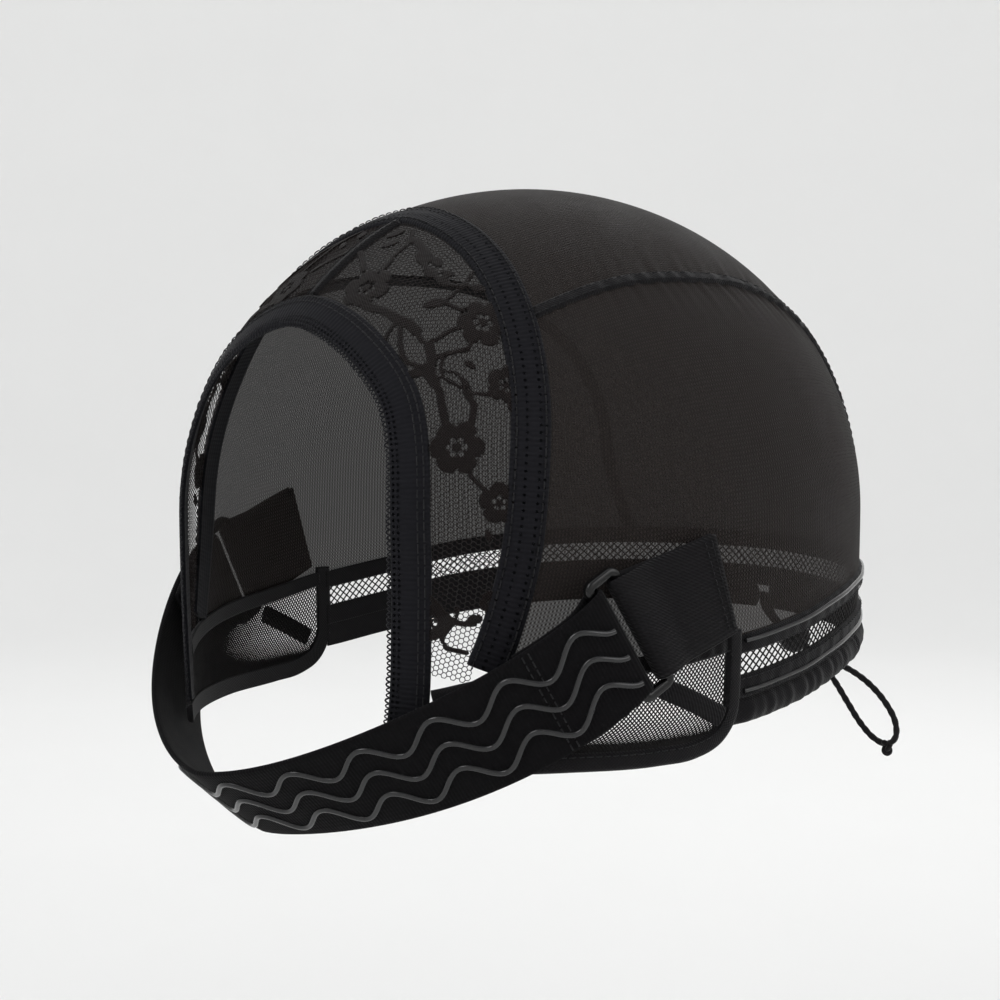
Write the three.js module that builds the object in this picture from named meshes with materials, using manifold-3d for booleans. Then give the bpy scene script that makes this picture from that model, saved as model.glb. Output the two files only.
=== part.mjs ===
// Wig cap: a dome of sheer mesh with a lace front, elastic bands round an open face,
// net ear tabs, a drawstring nape and a wide grip strap held by two rectangular rings.
// Millimetres, +Z up. The front of the head looks along -Y and the wearer's left is +X.
// The origin is the top of the head, at the inside of the crown.

import * as THREE from 'three';
import { mergeVertices } from 'three/addons/utils/BufferGeometryUtils.js';
import Module from 'manifold-3d';

// The head that the cap is stretched over
const headHalfWidth = 78.5;
const headHalfLength = 89.5;
const crownHeight = 80.2; // from the widest level up to the crown
const taperHeight = 260; // half height of the slow taper below the widest level
const capDepth = 131; // from the crown down to the bottom of the ear tabs

// Cloth walls and the gap left between touching pieces
const meshWall = 1.0;
const bandWall = 1.5;
const hemWall = 2.6;
const gap = 0.36;
const bandTop = bandWall + gap; // where a piece that lies on a band starts

// Widths of bands and casings
const hairlineWidth = 9;
const joinWidth = 9;
const centreSeamWidth = 3;
const panelSeamWidth = 3.4;
const earCasingWidth = 3.8;
const bindingWidth = 4.4;
const earElasticWidth = 4.8;
const earNetInset = 1.3 * gap; // how far the ear net stays inside its binding
const hemHeight = 6.2;
const lowerCasingHeight = 5.4;
const netHeight = 5;
const upperCasingHeight = 4.6;
const slitWidth = 5.2; // centre-back opening of the hem, for the draw cord
const hemEdge = 0.45; // share of the hem's thickness that its two edges keep

// Net of the nape, cut through in two rows of diamonds
const netHolePitch = 6.8;
const netCord = 0.7; // thickness of the net's strands where two holes come closest

// Silicone grip lines
const gripLineWidth = 1.5;
const gripLineHeight = 0.8;
const lowerGripSeat = 0.35; // share of the lower casing's height at which its line lies
const upperGripSeat = 0.7; // share of the upper casing's height

// Rings and their tabs
const ringLength = 31.4;
const ringWidth = 10;
const ringWire = 2.4;
const ringCorner = 2.6;
const ringSlotCorner = 0.4;
const ringBevel = 0.67;
const ringAngle = 65.3; // degrees from the front
const ringDrop = 0.747; // share of the cap's depth
const ringLean = 30; // degrees that the ring's foot leans backwards
const ringLift = 11; // degrees that the strap lifts the ring's front bar
const tabWidth = 25;
const tabWall = 1.1;
const tabLength = 24;
const tabTopLength = 1.06; // share of the length that the tab's upper edge runs back
const tabFootLength = 0.83; // share that its lower edge runs back
const tabTopDrift = 5.6; // how far the upper edge sinks along the ring towards its rear end
const tabFootDrift = 3.6;

// Grip strap
const strapWidth = 26;
const strapWall = 1.3;
const strapSetback = 25.5; // how far the loop's reach falls short of the head's half length
const strapReach = headHalfLength - strapSetback;
const strapTilt = 39.4; // degrees that the loop's plane falls towards the front
const strapFullness = 1.54; // exponent of the loop's superellipse
const strapCup = 0.18; // how far the lower edge draws in at the front
const strapBend = 3; // how late the strap leaves the ring's slant and takes its plane's
const strapFold = 23; // length folded back round each ring
const foldEase = 9; // length over which a folded layer closes up behind a ring's bar
const waveLength = 18;
const waveHeight = 5.4;
const waveSpacing = 6.8;

// Draw cord
const cordDiameter = 1.8;
const beadDiameter = 9;
const beadBore = 4.6;
const knotWidth = 4;
const knotHeight = 5.2;

// Outlines on the head. Columns: angle from the front in degrees, towards the wearer's left,
// and the drop below the crown as a share of the cap's depth.
const hairlineRows = [
  [0, 0.226], [12.5, 0.252], [22.8, 0.313], [28, 0.375], [30.3, 0.453], [31.2, 0.6],
  [31.2, 0.75], [30.8, 0.87], [29.8, 0.962],
];
const joinRows = [
  [0, 0.056], [22, 0.076], [37.5, 0.131], [44, 0.197], [47.2, 0.27], [48.8, 0.37],
  [48.6, 0.5], [47.4, 0.63], [44.6, 0.75], [42.2, 0.822],
];
const earCasingRows = [
  [34.9, 0.869], [41.4, 0.852], [52, 0.836], [62, 0.826], [72, 0.817], [83, 0.8],
];
const bindingRows = [
  [26.6, 0.983], [40, 0.983], [55, 0.983], [70, 0.983], [77, 0.978], [82, 0.958], [84.6, 0.92],
  [85, 0.87], [85, 0.79],
];
const napeRows = [
  [86.8, 0.944], [100, 0.927], [118, 0.896], [136, 0.877], [155, 0.868], [180, 0.864],
];
// Columns: angle, drop, along the seam between its two ends on the join band and on the nape
const seamRows = [
  [70, 0.178], [92.5, 0.169], [113, 0.182], [131, 0.233], [141, 0.31], [146.5, 0.44], [148.2, 0.58],
];
const earElasticRows = [[69.6, 0.858], [76, 0.89], [81.8, 0.922]];

// Shares along the paths where pieces meet
const seamOnJoin = 0.4; // share of the join band from the crown where the panel seam starts
const seamOnNape = 0.68; // share of the nape from the ear to the centre back where it ends
const seamTurn = 0.62; // share of the panel seam where it turns down the back
const bindingCorner = 0.69; // share of the binding where it turns up behind the ear
const bindingAtHairline = 0.1; // share of the binding where the ear net starts
const laceFoot = 0.86; // share of the hairline from the crown where the lace ends
const netTop = 0.9; // share of the hairline where the ear net starts
const casingAtJoin = 0.24; // share of the ear casing where the side panel starts

// The draw cord's route, from the slit through the bead, round the loop and back
const cordRoute = [
  [-1.05, 90.1, -109.2], [-1.05, 90.6, -112.6], [-0.3, 93.1, -116.6], [1.61, 95.4, -119.04],
  [3.66, 98.13, -122], [5.71, 100.86, -124.96], [9.6, 103, -129.2], [14.2, 104, -134.4],
  [18.2, 104.9, -140], [22, 105.8, -145.2], [26.2, 106.6, -149], [30.8, 107, -150.2],
  [34, 106.7, -147.6], [34.2, 106, -143], [31, 105, -137.6], [26, 104.1, -133.2],
  [20, 103.4, -130.2], [13.9, 102.8, -128.6], [9.9, 101.6, -127.2], [7.39, 99.6, -124.96],
  [5.34, 96.87, -122], [3.29, 94.14, -119.04], [1.8, 92.3, -116.4], [1.05, 90.6, -112.6],
  [1.05, 90.1, -109.2],
];
const beadCentre = [4.5, 97.5, -122];
const beadAxis = [0.455, 0.606, -0.657];
const knotDrop = 0.8; // how far the knot's middle hangs below the loop's lowest point

const wasm = await Module();
wasm.setup();

const centre = new THREE.Vector3(0, 0, -crownHeight);
const upright = new THREE.Vector3(0, 0, 1);

// Head surface

/** The outward normal of the head at a point of it. */
function headNormal(point) {
  const ray = point.clone().sub(centre);
  const half = ray.z >= 0 ? crownHeight : taperHeight;
  return new THREE.Vector3(
    ray.x / headHalfWidth ** 2,
    ray.y / headHalfLength ** 2,
    ray.z / half ** 2,
  ).normalize();
}

/** Moves a point along its ray from the head's centre onto the head, then out by lift. */
function onHead(point, lift = 0) {
  const ray = point.clone().sub(centre);
  const half = ray.z >= 0 ? crownHeight : taperHeight;
  const reach = Math.hypot(ray.x / headHalfWidth, ray.y / headHalfLength, ray.z / half);
  const seat = ray.divideScalar(reach).add(centre);
  return seat.addScaledVector(headNormal(seat), lift);
}

/** A point of the head at an angle from the front and a share of the cap's depth. */
function place([angle, drop]) {
  const depth = drop * capDepth;
  const rise = crownHeight - depth;
  const level = Math.sqrt(1 - (rise / (rise >= 0 ? crownHeight : taperHeight)) ** 2);
  const turn = THREE.MathUtils.degToRad(angle);
  const reach = level / Math.hypot(Math.sin(turn) / headHalfWidth, Math.cos(turn) / headHalfLength);
  return new THREE.Vector3(Math.sin(turn) * reach, -Math.cos(turn) * reach, -depth);
}

/** A smooth curve on the head through the rows of a table. */
function pathThrough(points) {
  return new THREE.CatmullRomCurve3(points, false, 'centripetal');
}

/** The same table on both sides of the head, as one row list from right to left. */
function bothSides(rows) {
  const right = rows.filter(([angle]) => angle > 0).map(([angle, drop]) => [-angle, drop]);
  return [...right.reverse(), ...rows];
}

/** An edge that follows a path at a distance beside it, between two shares of its length. */
function beside(path, offset, first = 0, last = 1) {
  return (share) => {
    const along = THREE.MathUtils.lerp(first, last, share);
    const point = onHead(path.getPointAt(along));
    const side = headNormal(point).cross(path.getTangentAt(along)).normalize();
    return onHead(point.addScaledVector(side, offset));
  };
}

/** A straight edge over the head between two points. */
function straight(a, b) {
  return (share) => onHead(a.clone().lerp(b, share));
}

/** Several edges joined end to end, shared out by their lengths. */
function chain(...edges) {
  const lengths = edges.map((edge) => edgeLength(edge));
  const total = lengths.reduce((sum, length) => sum + length, 0);
  return (share) => {
    let left = share * total;
    let index = 0;
    while (index < edges.length - 1 && left > lengths[index]) {
      left -= lengths[index];
      index += 1;
    }
    return edges[index](Math.min(left / lengths[index], 1));
  };
}

/** An edge bent slightly so that it runs exactly from one point to another. */
function fitted(edge, first, last) {
  const [shiftFirst, shiftLast] = [first.clone().sub(edge(0)), last.clone().sub(edge(1))];
  return (share) => edge(share).addScaledVector(shiftFirst, 1 - share).addScaledVector(shiftLast, share);
}

/** A path's edge raised straight up over the head, between two shares of its length. */
function raised(path, height, first = 0, last = 1) {
  return (share) => {
    const point = path.getPointAt(THREE.MathUtils.lerp(first, last, share));
    return onHead(point.addScaledVector(upright, height));
  };
}

/** The same edge on the wearer's other side. */
function mirrored(edge) {
  return (share) => edge(share).multiply(new THREE.Vector3(-1, 1, 1));
}

function edgeLength(edge, samples = 8) {
  let length = 0;
  for (let i = 0; i < samples; i += 1) {
    length += edge(i / samples).distanceTo(edge((i + 1) / samples));
  }
  return length;
}

// Solids

function volumeOf(points, faces) {
  let volume = 0;
  for (let i = 0; i < faces.length; i += 3) {
    const [a, b, c] = [points[faces[i]], points[faces[i + 1]], points[faces[i + 2]]];
    volume += a.dot(b.clone().cross(c)) / 6;
  }
  return volume;
}

/** A geometry of points and faces, turned so that its faces point outwards. */
function solidOf(points, faces) {
  const turned = volumeOf(points, faces) < 0 ? [...faces].reverse() : faces;
  const geometry = new THREE.BufferGeometry().setFromPoints(points);
  geometry.setIndex(turned);
  geometry.computeVertexNormals();
  return geometry;
}

/** A closed solid between two grids of points with the same rows and columns. */
function solidBetween(outer, inner) {
  const rows = outer.length;
  const columns = outer[0].length;
  const points = [...outer.flat(), ...inner.flat()];
  const id = (layer, i, j) => layer * rows * columns + i * columns + j;
  const faces = [];
  const quad = (a, b, c, d) => faces.push(a, b, c, a, c, d);
  for (let i = 0; i < rows - 1; i += 1) {
    for (let j = 0; j < columns - 1; j += 1) {
      quad(id(0, i, j), id(0, i + 1, j), id(0, i + 1, j + 1), id(0, i, j + 1));
      quad(id(1, i, j), id(1, i, j + 1), id(1, i + 1, j + 1), id(1, i + 1, j));
    }
  }
  const rim = [];
  for (let i = 0; i < rows - 1; i += 1) rim.push([i, 0]);
  for (let j = 0; j < columns - 1; j += 1) rim.push([rows - 1, j]);
  for (let i = rows - 1; i > 0; i -= 1) rim.push([i, columns - 1]);
  for (let j = columns - 1; j > 0; j -= 1) rim.push([0, j]);
  rim.forEach(([i, j], k) => {
    const [m, n] = rim[(k + 1) % rim.length];
    quad(id(0, m, n), id(0, i, j), id(1, i, j), id(1, m, n));
  });
  return solidOf(points, faces);
}

/**
 * A cloth shell over the head inside four edges: from and to run along it, start and end
 * join them. Inner and outer are lifts above the head; outer may be a function across.
 */
function clothShell({ from, to, start, end }, { steps, strips, inner = 0, outer }) {
  const head = fitted(start ?? straight(from(0), to(0)), from(0), to(0));
  const foot = fitted(end ?? straight(from(1), to(1)), from(1), to(1));
  const insetAlong = gap / (edgeLength(from) + edgeLength(to));
  const insetAcross = gap / (edgeLength(head) + edgeLength(foot));
  const outerLift = typeof outer === 'function' ? outer : () => outer;
  const corners = [from(0), to(0), from(1), to(1)];
  const point = (u, v) => {
    const sum = new THREE.Vector3();
    sum.addScaledVector(from(u), 1 - v).addScaledVector(to(u), v);
    sum.addScaledVector(head(v), 1 - u).addScaledVector(foot(v), u);
    sum.addScaledVector(corners[0], -(1 - u) * (1 - v)).addScaledVector(corners[1], -(1 - u) * v);
    return sum.addScaledVector(corners[2], -u * (1 - v)).addScaledVector(corners[3], -u * v);
  };
  const grids = [[], []];
  for (let i = 0; i <= steps; i += 1) {
    const u = THREE.MathUtils.lerp(insetAlong, 1 - insetAlong, i / steps);
    const row = Array.from({ length: strips + 1 }, (_, j) => j / strips);
    const spots = row.map((v) => point(u, THREE.MathUtils.lerp(insetAcross, 1 - insetAcross, v)));
    grids[0].push(spots.map((spot, j) => onHead(spot, outerLift(row[j]))));
    grids[1].push(spots.map((spot) => onHead(spot, inner)));
  }
  return solidBetween(...grids);
}

/** The two edges of a band of a given width along a path. */
function bandEdges(path, width) {
  return { from: beside(path, -width / 2), to: beside(path, width / 2) };
}

/** A band of a given width along a path, on one side of the head or across both. */
function clothBand(path, width, steps, side) {
  const edges = bandEdges(path, width);
  return clothShell(side ? onSide(side, edges) : edges, { steps, strips: 1, outer: bandWall });
}

function toManifold(geometry) {
  const bare = geometry.clone();
  bare.deleteAttribute('normal');
  bare.deleteAttribute('uv');
  const merged = mergeVertices(bare, 1e-4);
  return new wasm.Manifold(new wasm.Mesh({
    numProp: 3,
    vertProperties: new Float32Array(merged.attributes.position.array),
    triVerts: new Uint32Array(merged.index.array),
  }));
}

function fromManifold(solid) {
  const mesh = solid.getMesh();
  const geometry = new THREE.BufferGeometry();
  geometry.setAttribute('position', new THREE.BufferAttribute(new Float32Array(mesh.vertProperties), 3));
  geometry.setIndex(new THREE.BufferAttribute(new Uint32Array(mesh.triVerts), 1));
  geometry.computeVertexNormals();
  return geometry;
}

// Scene graph

const cap = new THREE.Group();

function add(name, geometry, finish) {
  const mesh = new THREE.Mesh(geometry, new THREE.MeshStandardMaterial(finish));
  mesh.name = name;
  cap.add(mesh);
  return mesh;
}

const meshCloth = { color: 0x1c1917, roughness: 0.75, metalness: 0 };
const lace = { color: 0x15100f, roughness: 0.8, metalness: 0 };
const bandElastic = { color: 0x17181d, roughness: 0.8, metalness: 0 };
const netCloth = { color: 0x121112, roughness: 0.7, metalness: 0 };
const softBinding = { color: 0x151416, roughness: 0.85, metalness: 0 };
const strapElastic = { color: 0x0c0c0e, roughness: 0.85, metalness: 0 };
const silicone = { color: 0x4a4a4c, roughness: 0.25, metalness: 0 };
const ringPlastic = { color: 0x0a0a0b, roughness: 0.15, metalness: 0 };
const cordCloth = { color: 0x131214, roughness: 0.7, metalness: 0 };
const beadPlastic = { color: 0x161617, roughness: 0.55, metalness: 0 };

const sides = [
  { name: 'left', of: (edge) => edge },
  { name: 'right', of: mirrored },
];

/** The four edges of a piece, taken to one side of the head. */
function onSide(side, edges) {
  return Object.fromEntries(Object.entries(edges).map(([key, edge]) => [key, side.of(edge)]));
}

// Paths over both sides of the head, and the ones that stay on the left
const hairline = pathThrough(bothSides(hairlineRows).map(place));
const join = pathThrough(bothSides(joinRows).map(place));
const napeRight = napeRows.slice(0, -1).map(([angle, drop]) => [-angle, drop]).reverse();
const nape = pathThrough([...napeRows, ...napeRight].map(place));
const earCasing = pathThrough(earCasingRows.map(place));
const binding = pathThrough(bindingRows.map(place));
const earElastic = pathThrough(earElasticRows.map(place));

// Left halves of the long paths: shares run from the crown down, or from the ear to the back
const leftHalf = (path, offset, first, last) => beside(path, offset, (1 + first) / 2, (1 + last) / 2);
const besideHairline = (offset, first, last) => leftHalf(hairline, offset, first, last);
const besideJoin = (offset, first, last) => leftHalf(join, offset, first, last);
const aboveNape = (height, first, last) => raised(nape, height, first / 2, last / 2);
const halfLength = (path) => path.getLength() / 2;

// The nape is built up from the bottom of its hem
const lowerCasingFoot = hemHeight;
const netFoot = lowerCasingFoot + lowerCasingHeight;
const upperCasingFoot = netFoot + netHeight;
const napeTop = upperCasingFoot + upperCasingHeight;

const hairlineRear = hairlineWidth / 2;
const joinRear = joinWidth / 2;
const seamHalf = panelSeamWidth / 2;
const seamStart = besideJoin(joinRear, seamOnJoin, 1)(0);
const seamEnd = aboveNape(napeTop, seamOnNape, 1)(0);
const panelSeam = pathThrough([seamStart, ...seamRows.map(place), seamEnd]);

// Where the two edges of a seam leave the join band and reach the nape, as shares of the paths
const seamShareOnJoin = seamHalf / halfLength(join);
const seamShareOnNape = seamHalf / halfLength(nape);
const joinAboveSeam = besideJoin(joinRear, 0, seamOnJoin - seamShareOnJoin);
const joinBelowSeam = besideJoin(joinRear, seamOnJoin + seamShareOnJoin, 1);
const napeBehindSeam = aboveNape(napeTop, seamOnNape + seamShareOnNape, 1);
const napeBeforeSeam = aboveNape(napeTop, 0, seamOnNape - seamShareOnNape);
const seamUpper = fitted(beside(panelSeam, seamHalf), joinAboveSeam(1), napeBehindSeam(0));
const seamLower = fitted(beside(panelSeam, -seamHalf), joinBelowSeam(0), napeBeforeSeam(1));

/** Face opening: the hairline band, the lace in two halves and the band behind it. */
function addFront() {
  add('hairline_band', clothBand(hairline, hairlineWidth, 40), bandElastic);
  add('lace_join_band', clothBand(join, joinWidth, 40), bandElastic);

  const tapeHalf = new THREE.Vector3(centreSeamWidth / 2, 0, 0);
  const tapeFront = besideHairline(hairlineRear, 0, 1)(0).add(tapeHalf);
  const tapeRear = besideJoin(-joinRear, 0, 1)(0).add(tapeHalf);
  const tapeEdge = straight(tapeFront, tapeRear);
  const tape = { from: tapeEdge, to: mirrored(tapeEdge) };
  const laceFront = besideHairline(hairlineRear, tapeHalf.x / halfLength(hairline), laceFoot);
  const laceRear = besideJoin(-joinRear, tapeHalf.x / halfLength(join), 1);
  add('lace_centre_seam', clothShell(tape, { steps: 6, strips: 1, outer: bandWall }), softBinding);

  sides.forEach((side) => {
    const edges = onSide(side, {
      from: fitted(laceFront, tapeFront, laceFront(1)),
      to: fitted(laceRear, tapeRear, laceRear(1)),
    });
    add(`lace_front_${side.name}`, clothShell(edges, { steps: 20, strips: 3, outer: meshWall }), lace);
  });
}

/** Crown and side panels with the seams between them. */
function addPanels() {
  const acrossBoth = (half) => (share) => {
    const turn = 2 * share - 1;
    return turn < 0 ? half(-turn) : mirrored(half)(turn);
  };
  const crown = {
    from: seamUpper,
    to: mirrored(seamUpper),
    start: acrossBoth(joinAboveSeam),
    end: acrossBoth((share) => napeBehindSeam(1 - share)),
  };
  add('crown_panel', clothShell(crown, { steps: 17, strips: 12, outer: meshWall }), meshCloth);

  const casingTop = beside(earCasing, earCasingWidth / 2, casingAtJoin, 1);
  const foot = chain(
    straight(joinBelowSeam(1), casingTop(0)),
    casingTop,
    straight(casingTop(1), napeBeforeSeam(0)),
    napeBeforeSeam,
  );
  sides.forEach((side) => {
    const edges = onSide(side, { from: seamLower, to: seamUpper });
    const seam = clothShell(edges, { steps: 22, strips: 1, outer: bandWall });
    add(`panel_seam_${side.name}`, seam, softBinding);
    const panel = onSide(side, {
      from: (share) => seamLower(share * seamTurn),
      to: foot,
      start: joinBelowSeam,
      end: (share) => seamLower(THREE.MathUtils.lerp(seamTurn, 1, share)),
    });
    const sheet = clothShell(panel, { steps: 14, strips: 8, outer: meshWall });
    add(`side_panel_${side.name}`, sheet, meshCloth);
  });
}

/** Ear tabs: casing, net, binding and the short elastic across the net. */
function addEars() {
  const netEdge = bindingWidth / 2 + earNetInset;
  sides.forEach((side) => {
    add(`ear_casing_${side.name}`, clothBand(earCasing, earCasingWidth, 10, side), softBinding);
    add(`ear_binding_${side.name}`, clothBand(binding, bindingWidth, 34, side), softBinding);
    const net = onSide(side, {
      from: beside(earCasing, -earCasingWidth / 2),
      to: beside(binding, netEdge, bindingAtHairline, bindingCorner),
      start: besideHairline(hairlineRear, netTop, 1),
      end: beside(binding, netEdge, 1, bindingCorner),
    });
    add(`ear_net_${side.name}`, clothShell(net, { steps: 12, strips: 4, outer: meshWall }), netCloth);
    const strip = onSide(side, bandEdges(earElastic, earElasticWidth));
    const stripLift = { steps: 5, strips: 1, inner: bandTop, outer: bandTop + meshWall };
    add(`ear_elastic_${side.name}`, clothShell(strip, stripLift), strapElastic);
  });
}

/** The nape from its hem up: hem halves, casings, the cut net and the silicone lines. */
function addNape() {
  const between = (low, high) => ({ from: raised(nape, low), to: raised(nape, high) });
  const lower = between(lowerCasingFoot, netFoot);
  const upper = between(upperCasingFoot, napeTop);
  add('nape_lower_casing', clothShell(lower, { steps: 24, strips: 1, outer: bandWall }), softBinding);
  add('nape_upper_casing', clothShell(upper, { steps: 24, strips: 1, outer: bandWall }), softBinding);
  add('nape_net', netGeometry(netFoot + gap / 2, upperCasingFoot - gap / 2), netCloth);

  const round = (across) => hemWall * (hemEdge + (1 - hemEdge) * Math.sin(Math.PI * across));
  const slitShare = slitWidth / 2 / halfLength(nape);
  sides.forEach((side) => {
    const hem = onSide(side, {
      from: aboveNape(0, 0, 1 - slitShare),
      to: aboveNape(hemHeight, 0, 1 - slitShare),
    });
    add(`nape_hem_${side.name}`, clothShell(hem, { steps: 12, strips: 3, outer: round }), softBinding);
  });

  const lines = [
    ['nape_grip_lower', lowerCasingFoot + lowerCasingHeight * lowerGripSeat],
    ['nape_grip_upper', upperCasingFoot + upperCasingHeight * upperGripSeat],
  ];
  lines.forEach(([name, height]) => {
    const line = between(height - gripLineWidth / 2, height + gripLineWidth / 2);
    const options = { steps: 24, strips: 1, inner: bandTop, outer: bandTop + gripLineHeight };
    add(name, clothShell(line, options), silicone);
  });
}

/** The nape's net: two rows of cells, each with a diamond hole through it. */
function netGeometry(low, high) {
  const rows = 2;
  const columns = Math.round(nape.getLength() / netHolePitch);
  const pitch = nape.getLength() / columns;
  const end = gap / 2 / nape.getLength();
  const rowHeight = (high - low) / rows;
  const points = [];
  const faces = [];
  const cache = new Map();
  const id = (column, row, layer) => {
    const key = `${column} ${row} ${layer}`;
    if (!cache.has(key)) {
      const along = THREE.MathUtils.clamp(column / columns, end, 1 - end);
      const spot = raised(nape, low + row * rowHeight)(along);
      cache.set(key, points.push(onHead(spot, layer * meshWall)) - 1);
    }
    return cache.get(key);
  };
  const quad = (a, b, c, d) => faces.push(a, b, c, a, c, d);
  // A hole's corners lie this far from its cell's middle, in shares of the cell
  const middle = 0.5;
  const reachAlong = middle - netCord / 2 / pitch;
  const reachUp = middle - netCord / 2 / rowHeight;
  const hole = [
    [middle, middle - reachUp],
    [middle + reachAlong, middle],
    [middle, middle + reachUp],
    [middle - reachAlong, middle],
  ];
  const corners = [[0, 0], [1, 0], [1, 1], [0, 1]];
  for (let row = 0; row < rows; row += 1) {
    for (let column = 0; column < columns; column += 1) {
      const at = ([u, v], layer) => id(column + u, row + v, layer);
      corners.forEach((corner, k) => {
        const next = corners[(k + 1) % 4];
        const ahead = hole[(k + 1) % 4];
        faces.push(at(corner, 1), at(next, 1), at(hole[k], 1));
        faces.push(at(next, 1), at(ahead, 1), at(hole[k], 1));
        faces.push(at(next, 0), at(corner, 0), at(hole[k], 0));
        faces.push(at(ahead, 0), at(next, 0), at(hole[k], 0));
        quad(at(hole[k], 0), at(hole[k], 1), at(ahead, 1), at(ahead, 0));
      });
      if (row === 0) quad(at([0, 0], 0), at([1, 0], 0), at([1, 0], 1), at([0, 0], 1));
      if (row === rows - 1) quad(at([1, 1], 0), at([0, 1], 0), at([0, 1], 1), at([1, 1], 1));
      if (column === 0) quad(at([0, 1], 0), at([0, 0], 0), at([0, 0], 1), at([0, 1], 1));
      if (column === columns - 1) quad(at([1, 0], 0), at([1, 1], 0), at([1, 1], 1), at([1, 0], 1));
    }
  }
  return solidOf(points, faces);
}

// Ring, tab and strap share one frame on the wearer's left
const barRadius = ringWire / 2;
const tabTurn = barRadius + gap + tabWall / 2;
const strapTurn = barRadius + gap + strapWall / 2;
const ringFoot = place([ringAngle, ringDrop]);
const ringOut = headNormal(ringFoot);
const ringBack = upright.clone().cross(ringOut).normalize();
const ringDown = ringBack.clone().cross(ringOut).normalize();
const lean = THREE.MathUtils.degToRad(ringLean);
const ringAxis = ringDown.clone().multiplyScalar(Math.cos(lean));
ringAxis.addScaledVector(ringBack, Math.sin(lean));
const ringForward = ringOut.clone().cross(ringAxis).normalize();
if (ringForward.y > 0) ringForward.negate();
const tabMiddle = bandTop + tabWall / 2;
const rearBar = onHead(ringFoot, tabMiddle + tabTurn);
const lift = THREE.MathUtils.degToRad(ringLift);
const ringAcross = ringForward.clone().multiplyScalar(Math.cos(lift));
ringAcross.addScaledVector(ringOut, Math.sin(lift));
const barSpacing = ringWidth - ringWire;
const frontBar = rearBar.clone().addScaledVector(ringAcross, barSpacing);

function flip(vector) {
  return new THREE.Vector3(-vector.x, vector.y, vector.z);
}

/** A rounded rectangular ring of round-edged wire. */
function ringGeometry() {
  const outline = (length, width, corner) => {
    const shape = new THREE.Shape();
    const [x, y] = [width / 2 - corner, length / 2 - corner];
    shape.absarc(x, y, corner, 0, Math.PI / 2);
    shape.absarc(-x, y, corner, Math.PI / 2, Math.PI);
    shape.absarc(-x, -y, corner, Math.PI, 1.5 * Math.PI);
    shape.absarc(x, -y, corner, 1.5 * Math.PI, 2 * Math.PI);
    return shape;
  };
  const slotGrowth = 2 * (ringBevel - ringWire);
  const shape = outline(ringLength - 2 * ringBevel, ringWidth - 2 * ringBevel, ringCorner - ringBevel);
  const slot = outline(ringLength + slotGrowth, ringWidth + slotGrowth, ringSlotCorner + ringBevel);
  shape.holes.push(slot);
  const geometry = new THREE.ExtrudeGeometry(shape, {
    depth: ringWire - 2 * ringBevel,
    bevelSize: ringBevel,
    bevelThickness: ringBevel,
    bevelSegments: 1,
    curveSegments: 2,
  });
  return geometry.translate(0, 0, ringBevel - ringWire / 2);
}

/** The ribbon of a tab: down the upper layer, round the rear bar and back under it. */
function tabGeometry() {
  const upper = tabMiddle + tabWall + gap;
  const layerSteps = 7;
  const turnSteps = 6;
  const edges = [
    { across: -tabWidth / 2, reach: tabLength * tabTopLength, drift: tabTopDrift },
    { across: tabWidth / 2, reach: tabLength * tabFootLength, drift: tabFootDrift },
  ];
  // A point of a layer: seated on the head, and straight along the bar where it reaches the ring
  const spot = (edge, share, seat, turn) => {
    const shift = ringForward.clone().multiplyScalar(-share * edge.reach);
    shift.addScaledVector(ringAxis, edge.across + share * edge.drift);
    const onBar = rearBar.clone().add(shift).addScaledVector(ringOut, turn);
    const close = 1 - THREE.MathUtils.smoothstep(share * tabLength, 0, foldEase);
    return onHead(ringFoot.clone().add(shift), seat).lerp(onBar, close);
  };
  const outer = [];
  const inner = [];
  const half = tabWall / 2;
  for (let i = 0; i <= layerSteps; i += 1) {
    const share = 1 - i / layerSteps;
    outer.push(edges.map((edge) => spot(edge, share, upper + half, tabTurn + half)));
    inner.push(edges.map((edge) => spot(edge, share, upper - half, tabTurn - half)));
  }
  for (let i = 1; i < turnSteps; i += 1) {
    const turn = (Math.PI * i) / turnSteps;
    const round = ringOut.clone().multiplyScalar(Math.cos(turn));
    round.addScaledVector(ringForward, Math.sin(turn));
    const at = (edge, radius) => {
      const onBar = rearBar.clone().addScaledVector(ringAxis, edge.across);
      return onBar.addScaledVector(round, radius);
    };
    outer.push(edges.map((edge) => at(edge, tabTurn + half)));
    inner.push(edges.map((edge) => at(edge, tabTurn - half)));
  }
  for (let i = 0; i <= layerSteps; i += 1) {
    const share = i / layerSteps;
    outer.push(edges.map((edge) => spot(edge, share, tabMiddle - half, -tabTurn - half)));
    inner.push(edges.map((edge) => spot(edge, share, tabMiddle + half, half - tabTurn)));
  }
  return solidBetween(outer, inner);
}

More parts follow.
